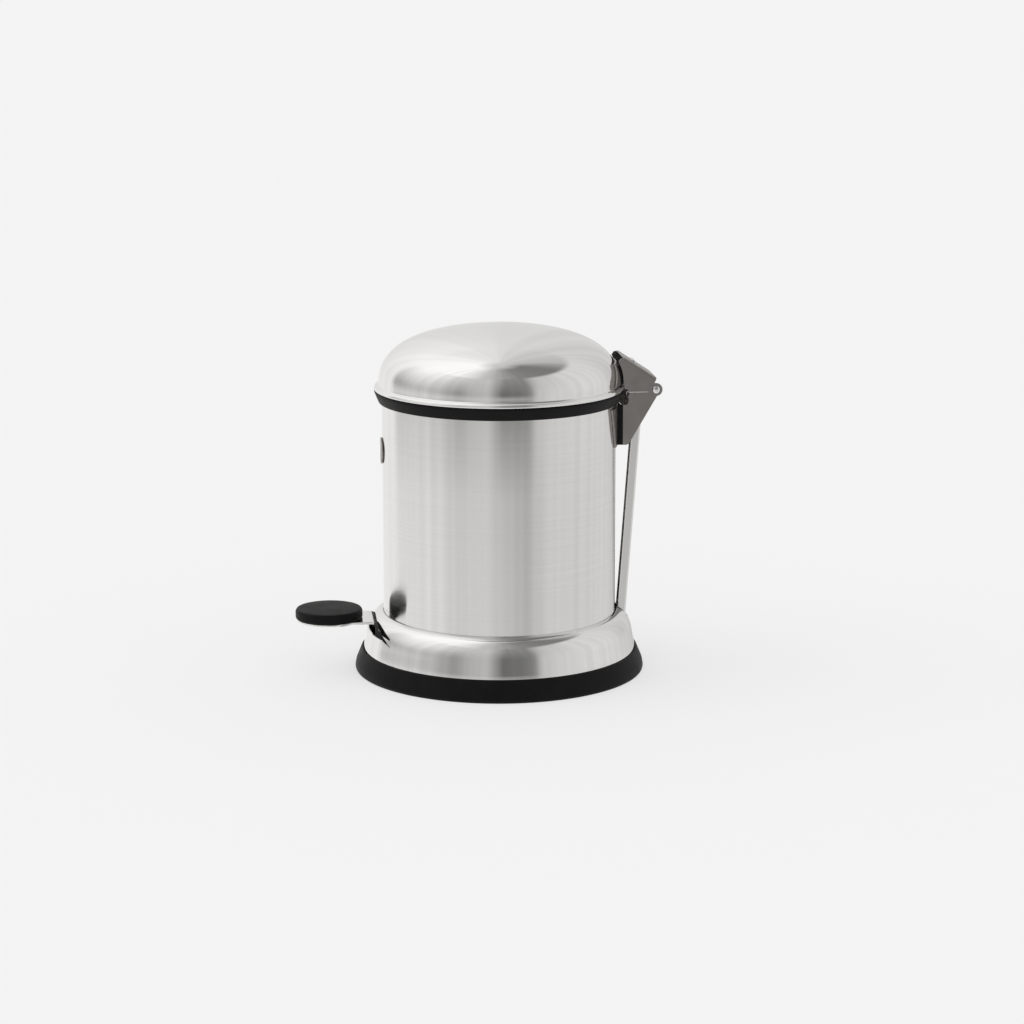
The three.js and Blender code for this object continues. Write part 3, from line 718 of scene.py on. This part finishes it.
def u_section(half, front, back, bend, thickness):
    """A U seen from above, open towards +a: (x, a) points."""
    outer = rounded([(-half, back), (-half, front, bend), (half, front, bend), (half, back)], 8)
    inner_half = half - thickness
    inner = rounded([
        (-inner_half, back),
        (-inner_half, front + thickness, bend - thickness),
        (inner_half, front + thickness, bend - thickness),
        (inner_half, back),
    ], 8)
    return outer + inner[::-1]


def lower_bracket():
    """On the body: a wrapped plate, a channel with an ear on each side, and a black rubber strip on
    each side as painted shade in the crevice.
    """
    nodes = ["hinge_lower_bracket"]
    inner = BODY_R + SEATED
    edges = [(WING_BOTTOM, WING_BOTTOM_HALF), (WING_TOP, WING_TOP_HALF)]
    wing = wrap_plate(edges, lambda h: inner, WING_R - inner)
    piece("hinge_body_wing", wing, "bracket", "bin", nodes, soften=SOFT_EDGE)

    face = WING_R + 0.35
    channel = prism(u_section(INNER_X, face, 140, 2.8, SHEET), 180, 245, "z")
    ear = arc((HINGE_A, HINGE_Z), EAR_R - 0.3, -50, 130, 24)
    toe = rounded([(101, WING_BOTTOM), (105.6, WING_BOTTOM, 4.5), (112, 202.7)])[1:-1]
    # the front edge steps back round the lid's rubber
    front = rounded([
        (112, 235),
        (106, 234.4, 3),
        (105.4, 226),
        (104.6, WING_TOP, 2.6),
        (100, WING_TOP),
    ])[:-1]
    side = [(face - 2, WING_BOTTOM), (101, WING_BOTTOM)] + toe + [(129.6, 231.4)] + ear
    side += front + [(face - 2, WING_TOP)]
    bracket = combined(
        channel,
        ("INTERSECT", prism(side, -THROUGH, THROUGH)),
        ("DIFFERENCE", cross_hole((HINGE_A, HINGE_Z), PIN_HOLE_R)),
    )
    piece("hinge_body_channel", bracket, "bracket", "bin", nodes, soften=SOFT_EDGE)

    # black rubber strips between the wing and the channel: dark pieces that paint the shade in that
    # crevice
    section = [(17.6, 96.4), (20.9, 96.0), (20.9, 98.9)]
    section += [(20.2, 100.4), (19.25, 100.9), (17.6, 99.6)]
    for name, sign in SIDES:
        outline = [(sign * x, a) for x, a in section]
        shade_bead = prism(outline, WING_BOTTOM + 0.4, WING_TOP - 0.4, "z")
        piece(f"hinge_body_shade_bead_{name}", shade_bead, "rubber", "bin", nodes, soften=SOFT_EDGE)


def dome_edge(x, offset, start, end, steps, ahead=0.0):
    """(a, z) points beside the dome, an offset outside it, in the upright plane at x."""
    points = []
    for k in range(steps + 1):
        height = start + (end - start) * k / steps
        radius = dome_radius(height, offset)
        points.append((math.sqrt(radius ** 2 - x ** 2) + ahead, height))
    return points


def upper_bracket():
    """On the lid: a plate wrapped round the dome, and side plates folded down from a web."""
    nodes = ["hinge_upper_bracket"]
    edges = [(SADDLE_BOTTOM, SADDLE_BOTTOM_HALF), (SADDLE_TOP, SADDLE_TOP_HALF)]
    saddle = wrap_plate(edges, lambda h: dome_radius(h, 0.1), SHEET + 0.3, rows=24)
    piece("hinge_lid_saddle", saddle, "bracket", "lid", nodes, soften=SOFT_EDGE)

    fold = 2.0
    channel = prism(u_section(OUTER_X, 0, 60, fold, SHEET), -12, WEB_LENGTH + 14, "z")
    cos, sin = math.cos(WEB_ANGLE), math.sin(WEB_ANGLE)
    # local (x, depth below the web, distance along it) to the bin's (x, a, z)
    turn = Matrix((
        (1, 0, 0, 0),
        (0, sin, cos, WEB_START[0]),
        (0, -cos, sin, WEB_START[1]),
        (0, 0, 0, 1),
    ))
    moved(channel, turn)
    bmesh.ops.recalc_face_normals(channel, faces=channel.faces)
    # the front edge follows the dome, steps out past the rim and back in above the rubber
    front = dome_edge(OUTER_X, 3.1, SADDLE_BOTTOM, 259.5, 16, 0.4)
    step = [(104.6, LIP_Z), (104.6, 236.9, 1.2), (101.7, 236.9, 0.8), (101.3, SADDLE_BOTTOM - 1)]
    tip = [(98.0, 261.8), (99.2, 262.5), on_web(7.6, 0.8), on_web(8.6, -1)]
    back = [on_web(WEB_LENGTH - 1.0, -1), (WEB_END[0] + 1.2, 245.6), (127.4, 243.2), (126.6, 241.6)]
    ear = arc((HINGE_A, HINGE_Z), EAR_R, 100, -100, 30)
    side = rounded(step) + front + tip + back + ear + [(122.0, LIP_Z)]
    bracket = combined(
        channel,
        ("INTERSECT", prism(side, -THROUGH, THROUGH)),
        ("DIFFERENCE", cross_hole((HINGE_A, HINGE_Z), PIN_HOLE_R)),
    )
    piece("hinge_lid_channel", bracket, "bracket", "lid", nodes, soften=SOFT_EDGE)

    # black rubber strips beside the dome paint the shade in the crevice between the saddle and the
    # side plates
    start, end = SADDLE_BOTTOM + 0.5, SHADE_BEAD_TOP + 0.5
    outline = dome_edge(SHADE_BEAD_X, 1.4, start, end, 14) + dome_edge(SHADE_BEAD_X, 4.6, start, end, 14)[::-1]
    beside = OUTER_X - SHEET - 0.1
    for name, sign in SIDES:
        # a thin wire in the brighter zinc look along the seam under each side plate, which paints
        # the seam's highlight
        lip = prism(arc((sign * OUTER_X, LIP_Z + HIGHLIGHT_LIP_R), HIGHLIGHT_LIP_R, 0, 330, 11), 105.2, 121.5, "a")
        piece(f"hinge_lid_highlight_lip_{name}", lip, "zinc", "lid", nodes)
        shade_bead = prism(outline, *sorted((sign * beside, sign * (beside - SHADE_BEAD_W))))
        piece(f"hinge_lid_shade_bead_{name}", shade_bead, "rubber", "lid", nodes)


# ---- pins and rivets ----------------------------------------------------------------------------
def round_fixing(node, axis, look, body, head_r, shank_r, head):
    """A pin or rivet along one axis, with domed heads, in the box of its CAD node."""
    low, high = span(node)
    middle = (low + high) / 2
    index = "xyz".index(axis)
    half = (high[index] - low[index]) / 2
    cap = []
    for degrees in range(0, 91, 10):
        t = math.radians(degrees)
        cap.append((head_r * math.sin(t), half - head * (1 - math.cos(t)) * 0.72))
    cap += [(head_r, half - head * 0.86), (head_r - 0.2, half - head), (shank_r, half - head)]
    outline = cap + [(r, -h) for r, h in reversed(cap)]
    bm = lathe(outline, 40)
    turn = {
        "x": Matrix.Rotation(math.pi / 2, 4, "Y"),
        "y": Matrix.Rotation(math.pi / 2, 4, "X"),
        "z": Matrix.Identity(4),
    }[axis]
    moved(bm, Matrix.Translation(middle) @ turn)
    piece(node + "_round", bm, look, body, [node])


def fixings():
    rivet_r, rivet_shank_r = 2.95, 1.5
    round_fixing("hinge_pin", "x", "polished", "bin", 3.05, 2.2, 1.4)
    round_fixing("rod_top_pin", "x", "zinc", "lid", 3.1, 2.0, 0.8)
    round_fixing("rod_lower_pin", "x", "zinc", "pedal", 3.1, 2.0, 0.8)
    round_fixing("lever_axle", "x", "zinc", "bin", 2.99, 2.98, 0.5)
    for k in range(1, 5):
        round_fixing(f"body_rivet_{k}", "y", "zinc", "bin", rivet_r, rivet_shank_r, 1.2)
        round_fixing(f"bracket_rivet_{k}", "z", "zinc", "bin", rivet_r, rivet_shank_r, 1.2)
    for k in (1, 2):
        round_fixing(f"lid_rivet_{k}", "y", "zinc", "lid", rivet_r, rivet_shank_r, 1.2)
    for side, _ in SIDES:
        round_fixing(f"ear_rivet_{side}", "x", "zinc", "bucket", rivet_r, rivet_shank_r, 0.8)


# ---- pedal and rod ------------------------------------------------------------------------------
def pedal_pad():
    low, high = PAD_LOW.z, PAD_HIGH.z
    outline = rounded([
        (0, low),
        (PAD_R - 0.6, low, 0.5),
        (PAD_R - 0.1, low + 1.2, 1.0),
        (PAD_R - 0.1, high - 2.6, 1.5),
        (PAD_R - 1.3, high - 0.75, 1.4),
        (PAD_R - 6.0, high - 0.35, 4.0),
        (PAD_R * 0.4, high, 4.0),
        (0, high),
    ])
    pad = moved(lathe(outline, 128), Matrix.Translation((0, PAD_A, 0)))
    piece("pedal_pad_rubber", pad, "rubber", "pedal", ["pedal_pad"])


def pedal_lever():
    """A round plate under the pad, a bent arm into the base, and a channel back to the rod."""
    nodes = ["pedal_lever"]
    top = PAD_LOW.z - 0.3
    bottom = top - LEVER_SHEET
    outline = [(0, bottom), (PAD_R - 1, bottom, 0.9), (PAD_R - 1, top, 0.5), (0, top)]
    plate = moved(lathe(rounded(outline), 128), Matrix.Translation((0, PAD_A, 0)))
    piece("pedal_plate", plate, "polished", "pedal", nodes)

    middle = (top + bottom) / 2
    line = spline([
        (PAD_A + 14, middle),
        (-118, middle),
        (-110, middle),
        (-104.6, middle - 0.9),
        (-95.8, 35.2),
        (-88.5, 31.2),
        (-80, 29.9),
        (-68, 29.4),
    ], 5)
    strip = offset_line(line, LEVER_SHEET / 2) + offset_line(line, -LEVER_SHEET / 2)[::-1]
    half = ARM_W / 2
    outside = [(-half, PAD_A + 5), (half, PAD_A + 5), (half, SHADED_ARM_JOIN), (-half, SHADED_ARM_JOIN)]
    arm = combined(prism(strip, -half, half), ("INTERSECT", prism(outside, 0, 80, "z")))
    piece("pedal_arm", arm, "polished", "pedal", nodes, soften=0.45, sharp_deg=40)

    # inside the base the arm is dark and has a dark skirt down each side: both paint the shade
    # inside the base
    shaded_plan = rounded([
        (-half, SHADED_ARM_JOIN),
        (half, SHADED_ARM_JOIN),
        (half, -92, 12),
        (LEVER_W / 2, -74, 8),
        (LEVER_W / 2, -60),
        (-LEVER_W / 2, -60),
        (-LEVER_W / 2, -74, 8),
        (-half, -92, 12),
    ])
    skirt = [(-105.3, 42.6), (-95.8, 34.9), (-88.5, 30.9), (-88.5, 27.5), (-98, 28.5), (-105.3, 32)]
    for name, sign in SIDES:
        sheet = prism(skirt, sign * SHADE_SKIRT_OUTER, sign * SHADE_SKIRT_INNER)
        piece(f"pedal_arm_shade_skirt_{name}", sheet, "bucket", "pedal", nodes)
    shaded_end = combined(prism(strip, -half, half), ("INTERSECT", prism(shaded_plan, 0, 80, "z")))
    piece("pedal_arm_shaded_tail", shaded_end, "bucket", "pedal", nodes, soften=0.45, sharp_deg=40)

    depth = 5.5
    front = -24
    section = u_section(LEVER_W / 2, 0, 30, 2.6, LEVER_SHEET)
    beam = prism(section, front - 5, LEVER_ARM + 10, "z")
    # local (x, depth, distance along) to (x, a, z) about the axle, before the lever's rest slope
    moved(beam, Matrix(((1, 0, 0, 0), (0, 0, 1, 0), (0, -1, 0, depth + 2), (0, 0, 0, 1))))
    bmesh.ops.recalc_face_normals(beam, faces=beam.faces)
    side = [(front, depth + 3), (front, 1), (front + 12, -depth), (LEVER_ARM, -depth)]
    side += arc((LEVER_ARM, 0), depth, -80, 80, 14)
    side += [(LEVER_ARM - 14, depth + 0.3), (LEVER_ARM - 15, depth + 3)]
    beam = combined(
        beam,
        ("INTERSECT", prism(side, -THROUGH, THROUGH)),
        ("DIFFERENCE", cross_hole((0, 0), AXLE_HOLE_R)),
        ("DIFFERENCE", cross_hole((LEVER_ARM, 0), ROD_HOLE_R)),
    )
    slope = math.atan2(ROD_FOOT.z - AXLE.z, ROD_FOOT.y - AXLE.y)
    moved(beam, Matrix.Translation((0, AXLE.y, AXLE.z)) @ Matrix.Rotation(slope, 4, "X"))
    piece("pedal_beam", beam, "polished", "pedal", nodes, soften=SOFT_EDGE)


def push_rod():
    """A slim channel whose two walls carry the pin holes; its back faces away from the body."""
    half = 3.4
    section = u_section(7.0, 0, 14, 1.9, 1.5)
    channel = prism(section, -7, ROD_LENGTH + 7, "z")
    # turned so that its open side faces the body, at -y
    moved(channel, Matrix(((1, 0, 0, 0), (0, -1, 0, half), (0, 0, 1, 0), (0, 0, 0, 1))))
    bmesh.ops.recalc_face_normals(channel, faces=channel.faces)
    top = ROD_LENGTH
    side = arc((0, 0), 4.6, -222.3, 42.3, 24)
    side += [(half, top - 3.665)]
    side += arc((0.3, top), 4.8, -49.0, 90, 14) + arc((-3.7, top), 4.8, 90, 273.6, 18)
    slot = arc((0.3, top), ROD_SLOT_R, -90, 90, 12) + arc((-3.7, top), ROD_SLOT_R, 90, 270, 12)
    # the back is open at both ends, so that only the two walls go over the pins
    gap = [(-5.45, -8), (5.45, -8), (5.45, 8), (-5.45, 8)]
    rod = combined(
        channel,
        ("INTERSECT", prism(side, -THROUGH, THROUGH)),
        ("DIFFERENCE", cross_hole((0, 0), ROD_HOLE_R)),
        ("DIFFERENCE", prism(slot, -THROUGH, THROUGH)),
        ("DIFFERENCE", prism(gap, -9, 10, "z")),
        ("DIFFERENCE", prism(gap, top - 10, top + 9, "z")),
    )
    place = Matrix.Translation((0, ROD_FOOT.y, ROD_FOOT.z)) @ Matrix.Rotation(-ROD_LEAN, 4, "X")
    piece("push_rod_channel", moved(rod, place), "satin", "rod", ["push_rod"], soften=0.25)


# ---- inner bucket -------------------------------------------------------------------------------
def inner_bucket():
    top, bottom, rim = BUCKET_HIGH.z, BUCKET_LOW.z, BUCKET_HIGH.x
    outline = [(0, 44.6)] + rounded([
        (0, 44.6),
        (79, 44.5, 1.0),
        (80, bottom, 0.8),
        (83.0, bottom, 0.8),
        (84.2, 44.5, 2.0),
        (rim - 1.8, top - 3, 0.5),
        (rim, top - 2.6, 0.8),
        (rim, top, 0.9),
        (rim - 3.4, top, 0.9),
        (82.6, 46.1, 3.0),
        (0, 46.1),
    ])[1:-1] + [(0, 46.1)]
    piece("inner_bucket_shell", lathe(outline), "bucket", "bucket", ["inner_bucket"])


def wire(path, radius, sides=16):
    """A round wire along a path, closed at its ends."""
    bm = bmesh.new()
    points = [Vector(p) for p in path]
    up = Vector((0, 0, 1))
    rings = []
    for i, point in enumerate(points):
        ahead = (points[min(i + 1, len(points) - 1)] - points[max(i - 1, 0)]).normalized()
        across = ahead.cross(up).normalized()
        ring = []
        for k in range(sides):
            angle = 2 * math.pi * k / sides
            out = across * math.cos(angle) + up * math.sin(angle)
            ring.append(bm.verts.new(point + out * radius))
        rings.append(ring)
    for one, two in zip(rings, rings[1:]):
        for k in range(sides):
            bm.faces.new((one[k], one[(k + 1) % sides], two[(k + 1) % sides], two[k]))
    bm.faces.new(rings[0][::-1])
    bm.faces.new(rings[-1])
    bmesh.ops.recalc_face_normals(bm, faces=bm.faces)
    return bm


def bail():
    """The bucket's handle, laid flat: a half hoop whose ends turn inwards through the ears."""
    low, high = span("bail_handle")
    radius = high.y - 2.0
    z = (low.z + high.z) / 2
    right = rounded([(radius - BAIL_TAIL - 2.5, 0), (radius, 0, 2.2), (radius, 8)])[:-1]
    left = [(-x, a) for x, a in reversed(right)]
    hoop = [p for p in arc((0, 0), radius, 0, 180, 72) if p[1] > 3.2]
    path = [(x, a, z) for x, a in right + hoop + left]
    piece("bail_wire", wire(path, BAIL_R), "zinc", "bail", ["bail_handle"])


# ---- CAD pieces that keep their shape -----------------------------------------------------------
def kept_pieces():
    """CAD nodes that are drawn as they are, with a material and slightly softened edges."""
    kept = {
        # the floor plate takes the dark plastic look: a moulded base plate, made dark also to paint
        # the shade inside the base
        "floor_plate": "bucket",
        "lever_bracket": "zinc",
        "axle_clip_left": "zinc",
        "axle_clip_right": "zinc",
        "lid_crank": "zinc",
        "crank_rivet_1": "zinc",
        "crank_rivet_2": "zinc",
        "bail_ear_left": "zinc",
        "bail_ear_right": "zinc",
    }
    for node, look in kept.items():
        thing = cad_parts[node]
        thing.data.materials.clear()
        thing.data.materials.append(LOOKS[look])
        edges = thing.modifiers.new("edges", "BEVEL")
        edges.width = 0.2 * MM
        edges.segments = 2
        edges.limit_method = "ANGLE"
        edges.angle_limit = math.radians(40)
        edges.harden_normals = True


# ---- stage --------------------------------------------------------------------------------------
def linear(tone):
    """A picture tone of 0 to 255 as scene light."""
    share = tone / 255
    return share / 12.92 if share <= 0.04045 else ((share + 0.055) / 1.055) ** 2.4


BACKDROP = linear(244)
PAPER_TINT = 0.86
STEEL_TINT = 0.84
LIGHT_TINT = (1.0, 0.995, 0.985)
STREAK_SCALE = 46
STREAK_DEPTH = 0.22
# How bright the room looks in the steel, as (degrees round from the camera, tone): below the
# horizon, at the horizon, half way up and high up.
STUDIO_FLOOR = [
    (-180, 224), (-141, 226), (-126, 227), (-108, 221), (-86, 219), (-63, 218), (-50, 211),
    (-37, 206), (-19, 206), (-6, 203), (4, 200), (11, 193), (24, 186), (30, 184), (37, 190),
    (48, 200), (62, 203), (90, 202), (115, 204), (138, 205), (150, 190), (161, 182), (180, 200),
]
STUDIO_LOW = [
    (-180, 205), (-150, 224), (-125, 226), (-118, 170), (-110, 165), (-90, 185), (-70, 185),
    (-55, 172), (-38, 145), (-24, 172), (-10, 178), (3, 104), (22, 112), (30, 132), (38, 190),
    (55, 200), (75, 207), (90, 210), (110, 210), (135, 192), (180, 205),
]
STUDIO_MIDDLE = [
    (-180, 215), (-165, 231), (-140, 240), (-100, 248), (-80, 240), (-65, 228), (-50, 206),
    (-35, 195), (-25, 190), (-10, 188), (3, 148), (8, 132), (28, 132), (36, 160), (42, 186),
    (60, 193), (75, 206), (100, 208), (130, 207), (160, 200), (180, 215),
]
STUDIO_HIGH = [
    (-180, 216), (-160, 228), (-140, 240), (-110, 250), (-80, 250), (-54, 240), (-35, 215),
    (-20, 190), (-10, 180), (8, 150), (30, 128), (60, 120), (90, 120), (110, 150), (125, 180),
    (145, 191), (165, 200), (180, 216),
]
# The floor paper glows a little and is lit for the rest, so that it stays pale with a faint shadow.
SUN_SHARE = 0.075
FLOOR_GLOW = 0.6
FLOOR_TINT = PAPER_TINT * (1 - FLOOR_GLOW)
SOFT_LIGHT = BACKDROP / PAPER_TINT * (1 - SUN_SHARE)
SUN_WIDTH_DEG = 48
SUN_RISE_DEG = 38
FLOOR_HALF = 80.0
CEILING = 195
GROUND = 227
STUDIO_PEAK = 1.25


def studio_light():
    """The room that the steel mirrors, with plain light on everything that isn't shiny."""
    world = bpy.data.worlds.new("studio")
    bpy.context.scene.world = world
    world.use_nodes = True
    tree = world.node_tree
    tree.nodes.clear()

    def add(kind, **values):
        node = tree.nodes.new(kind)
        for key, value in values.items():
            setattr(node, key, value)
        return node

    def level_of(tone):
        return linear(tone) / STEEL_TINT / STUDIO_PEAK

    def math_node(operation, one, two=None):
        node = add("ShaderNodeMath", operation=operation)
        for socket, value in zip(node.inputs, (one, two)):
            if isinstance(value, (int, float)):
                socket.default_value = value
            elif value is not None:
                tree.links.new(value, socket)
        return node.outputs["Value"]

    def along(vector):
        node = add("ShaderNodeVectorMath", operation="DOT_PRODUCT")
        node.inputs[1].default_value = vector
        tree.links.new(direction, node.inputs[0])
        return node.outputs["Value"]

    def ramp(stops):
        node = add("ShaderNodeValToRGB")
        elements = node.color_ramp.elements
        while len(elements) < len(stops):
            elements.new(1.0)
        for element, (degrees, tone) in zip(elements, stops):
            element.position = (degrees + 180) / 360
            level = level_of(tone)
            element.color = (*(level * share for share in LIGHT_TINT), 1)
        tree.links.new(turn, node.inputs["Fac"])
        return node.outputs["Color"]

    def between(low, high, one, two, smooth=False):
        kind = "SMOOTHSTEP" if smooth else "LINEAR"
        share = add("ShaderNodeMapRange", interpolation_type=kind)
        share.inputs["From Min"].default_value = low
        share.inputs["From Max"].default_value = high
        tree.links.new(height, share.inputs["Value"])
        node = add("ShaderNodeMix", data_type="RGBA")
        tree.links.new(share.outputs["Result"], node.inputs["Factor"])
        for name, value in (("A", one), ("B", two)):
            if isinstance(value, tuple):
                node.inputs[name].default_value = value
            else:
                tree.links.new(value, node.inputs[name])
        return node.outputs["Result"]

    near, top = level_of(GROUND), level_of(CEILING)
    direction = add("ShaderNodeTexCoord").outputs["Generated"]
    side, front = along(TO_RIGHT), along(TO_CAMERA)
    angle = math_node("ARCTAN2", side, front)
    turn = math_node("ADD", math_node("DIVIDE", angle, 2 * math.pi), 0.5)
    height = math_node("MULTIPLY", math_node("ARCSINE", along((0, 0, 1))), 180 / math.pi)
    ground = between(-60, -30, (near, near, near, 1), ramp(STUDIO_FLOOR))
    low = between(-14, 3, ground, ramp(STUDIO_LOW))
    walls = between(8, 45, low, ramp(STUDIO_MIDDLE))
    upper = between(47, 54, walls, ramp(STUDIO_HIGH), smooth=True)
    studio = between(78, 88, upper, (top, top, top, 1))

    path = add("ShaderNodeLightPath")
    mirrored = add("ShaderNodeBackground")
    # fine upright streaks, as walls and stands make in brushed steel
    streak = add("ShaderNodeTexNoise", noise_dimensions="1D")
    streak.inputs["Scale"].default_value = STREAK_SCALE
    streak.inputs["Detail"].default_value = 3
    tree.links.new(turn, streak.inputs["W"])
    ripple = math_node("MULTIPLY", streak.outputs["Fac"], STREAK_DEPTH)
    strength = math_node("MULTIPLY", math_node("ADD", ripple, 1 - STREAK_DEPTH / 2), STUDIO_PEAK)
    tree.links.new(strength, mirrored.inputs["Strength"])
    tree.links.new(studio, mirrored.inputs["Color"])
    plain = add("ShaderNodeBackground")
    plain.inputs["Color"].default_value = (1, 1, 1, 1)
    plain.inputs["Strength"].default_value = SOFT_LIGHT
    backdrop = add("ShaderNodeBackground")
    backdrop.inputs["Color"].default_value = (1, 1, 1, 1)
    backdrop.inputs["Strength"].default_value = BACKDROP
    soft = add("ShaderNodeMixShader")
    tree.links.new(path.outputs["Is Diffuse Ray"], soft.inputs["Fac"])
    tree.links.new(mirrored.outputs["Background"], soft.inputs[1])
    tree.links.new(plain.outputs["Background"], soft.inputs[2])
    seen = add("ShaderNodeMixShader")
    tree.links.new(path.outputs["Is Camera Ray"], seen.inputs["Fac"])
    tree.links.new(soft.outputs["Shader"], seen.inputs[1])
    tree.links.new(backdrop.outputs["Background"], seen.inputs[2])
    out = add("ShaderNodeOutputWorld")
    tree.links.new(seen.outputs["Shader"], out.inputs["Surface"])


def key_light():
    """A weak, broad light from behind the pedal, for the faint shadow beyond the hinge."""
    sun = bpy.data.lights.new("key", "SUN")
    sun.angle = math.radians(SUN_WIDTH_DEG)
    toward = (-TO_RIGHT + TO_CAMERA * 0.06).normalized()
    rise = math.radians(SUN_RISE_DEG)
    sun.energy = BACKDROP / PAPER_TINT * SUN_SHARE * math.pi / math.sin(rise)
    thing = bpy.data.objects.new("key", sun)
    bpy.context.scene.collection.objects.link(thing)
    source = toward * math.cos(rise) + Vector((0, 0, math.sin(rise)))
    thing.rotation_mode = "QUATERNION"
    thing.rotation_quaternion = (-source).to_track_quat("-Z", "Y")
    thing.visible_glossy = False


def floor():
    """Pale paper that mirror rays pass through."""
    bm = bmesh.new()
    corners = ((-1, -1), (1, -1), (1, 1), (-1, 1))
    bm.faces.new([bm.verts.new((x * FLOOR_HALF, y * FLOOR_HALF, 0)) for x, y in corners])
    mesh = bpy.data.meshes.new("studio_floor")
    bm.to_mesh(mesh)
    bm.free()
    thing = bpy.data.objects.new("studio_floor", mesh)
    bpy.context.scene.collection.objects.link(thing)
    paper = bpy.data.materials.new("paper")
    paper.use_nodes = True
    shader = next(n for n in paper.node_tree.nodes if n.type == "BSDF_PRINCIPLED")
    shader.inputs["Base Color"].default_value = (FLOOR_TINT, FLOOR_TINT, FLOOR_TINT, 1)
    shader.inputs["Roughness"].default_value = 1.0
    shader.inputs["Specular IOR Level"].default_value = 0.0
    shader.inputs["Emission Color"].default_value = (1, 1, 1, 1)
    shader.inputs["Emission Strength"].default_value = BACKDROP * FLOOR_GLOW
    mesh.materials.append(paper)
    thing.visible_glossy = False


# The camera: its lens in mm, then in metres how far it stands off, its height and its aim.
LENS = 97.11
CAMERA_DISTANCE = 2.252
CAMERA_HEIGHT = 0.6122
AIM_RIGHT = 0.0108
AIM_HEIGHT = 0.1316


def camera():
    lens = bpy.data.cameras.new("camera")
    lens.sensor_width = 36
    lens.lens = LENS
    lens.clip_end = 500
    thing = bpy.data.objects.new("camera", lens)
    bpy.context.scene.collection.objects.link(thing)
    place = AXIS + TO_CAMERA * CAMERA_DISTANCE + Vector((0, 0, CAMERA_HEIGHT))
    aim = AXIS + TO_RIGHT * AIM_RIGHT + Vector((0, 0, AIM_HEIGHT))
    thing.location = place
    thing.rotation_mode = "QUATERNION"
    thing.rotation_quaternion = (aim - place).to_track_quat("-Z", "Y")
    bpy.context.scene.camera = thing


camera()
studio_light()
key_light()
floor()
base_ring()
base_shroud()
body_shell()
badge()
lid_dome()
lid_seal()
lower_bracket()
upper_bracket()
fixings()
pedal_pad()
pedal_lever()
push_rod()
inner_bucket()
bail()
kept_pieces()

bpy.context.scene.view_settings.view_transform = "Standard"
bpy.context.view_layer.update()
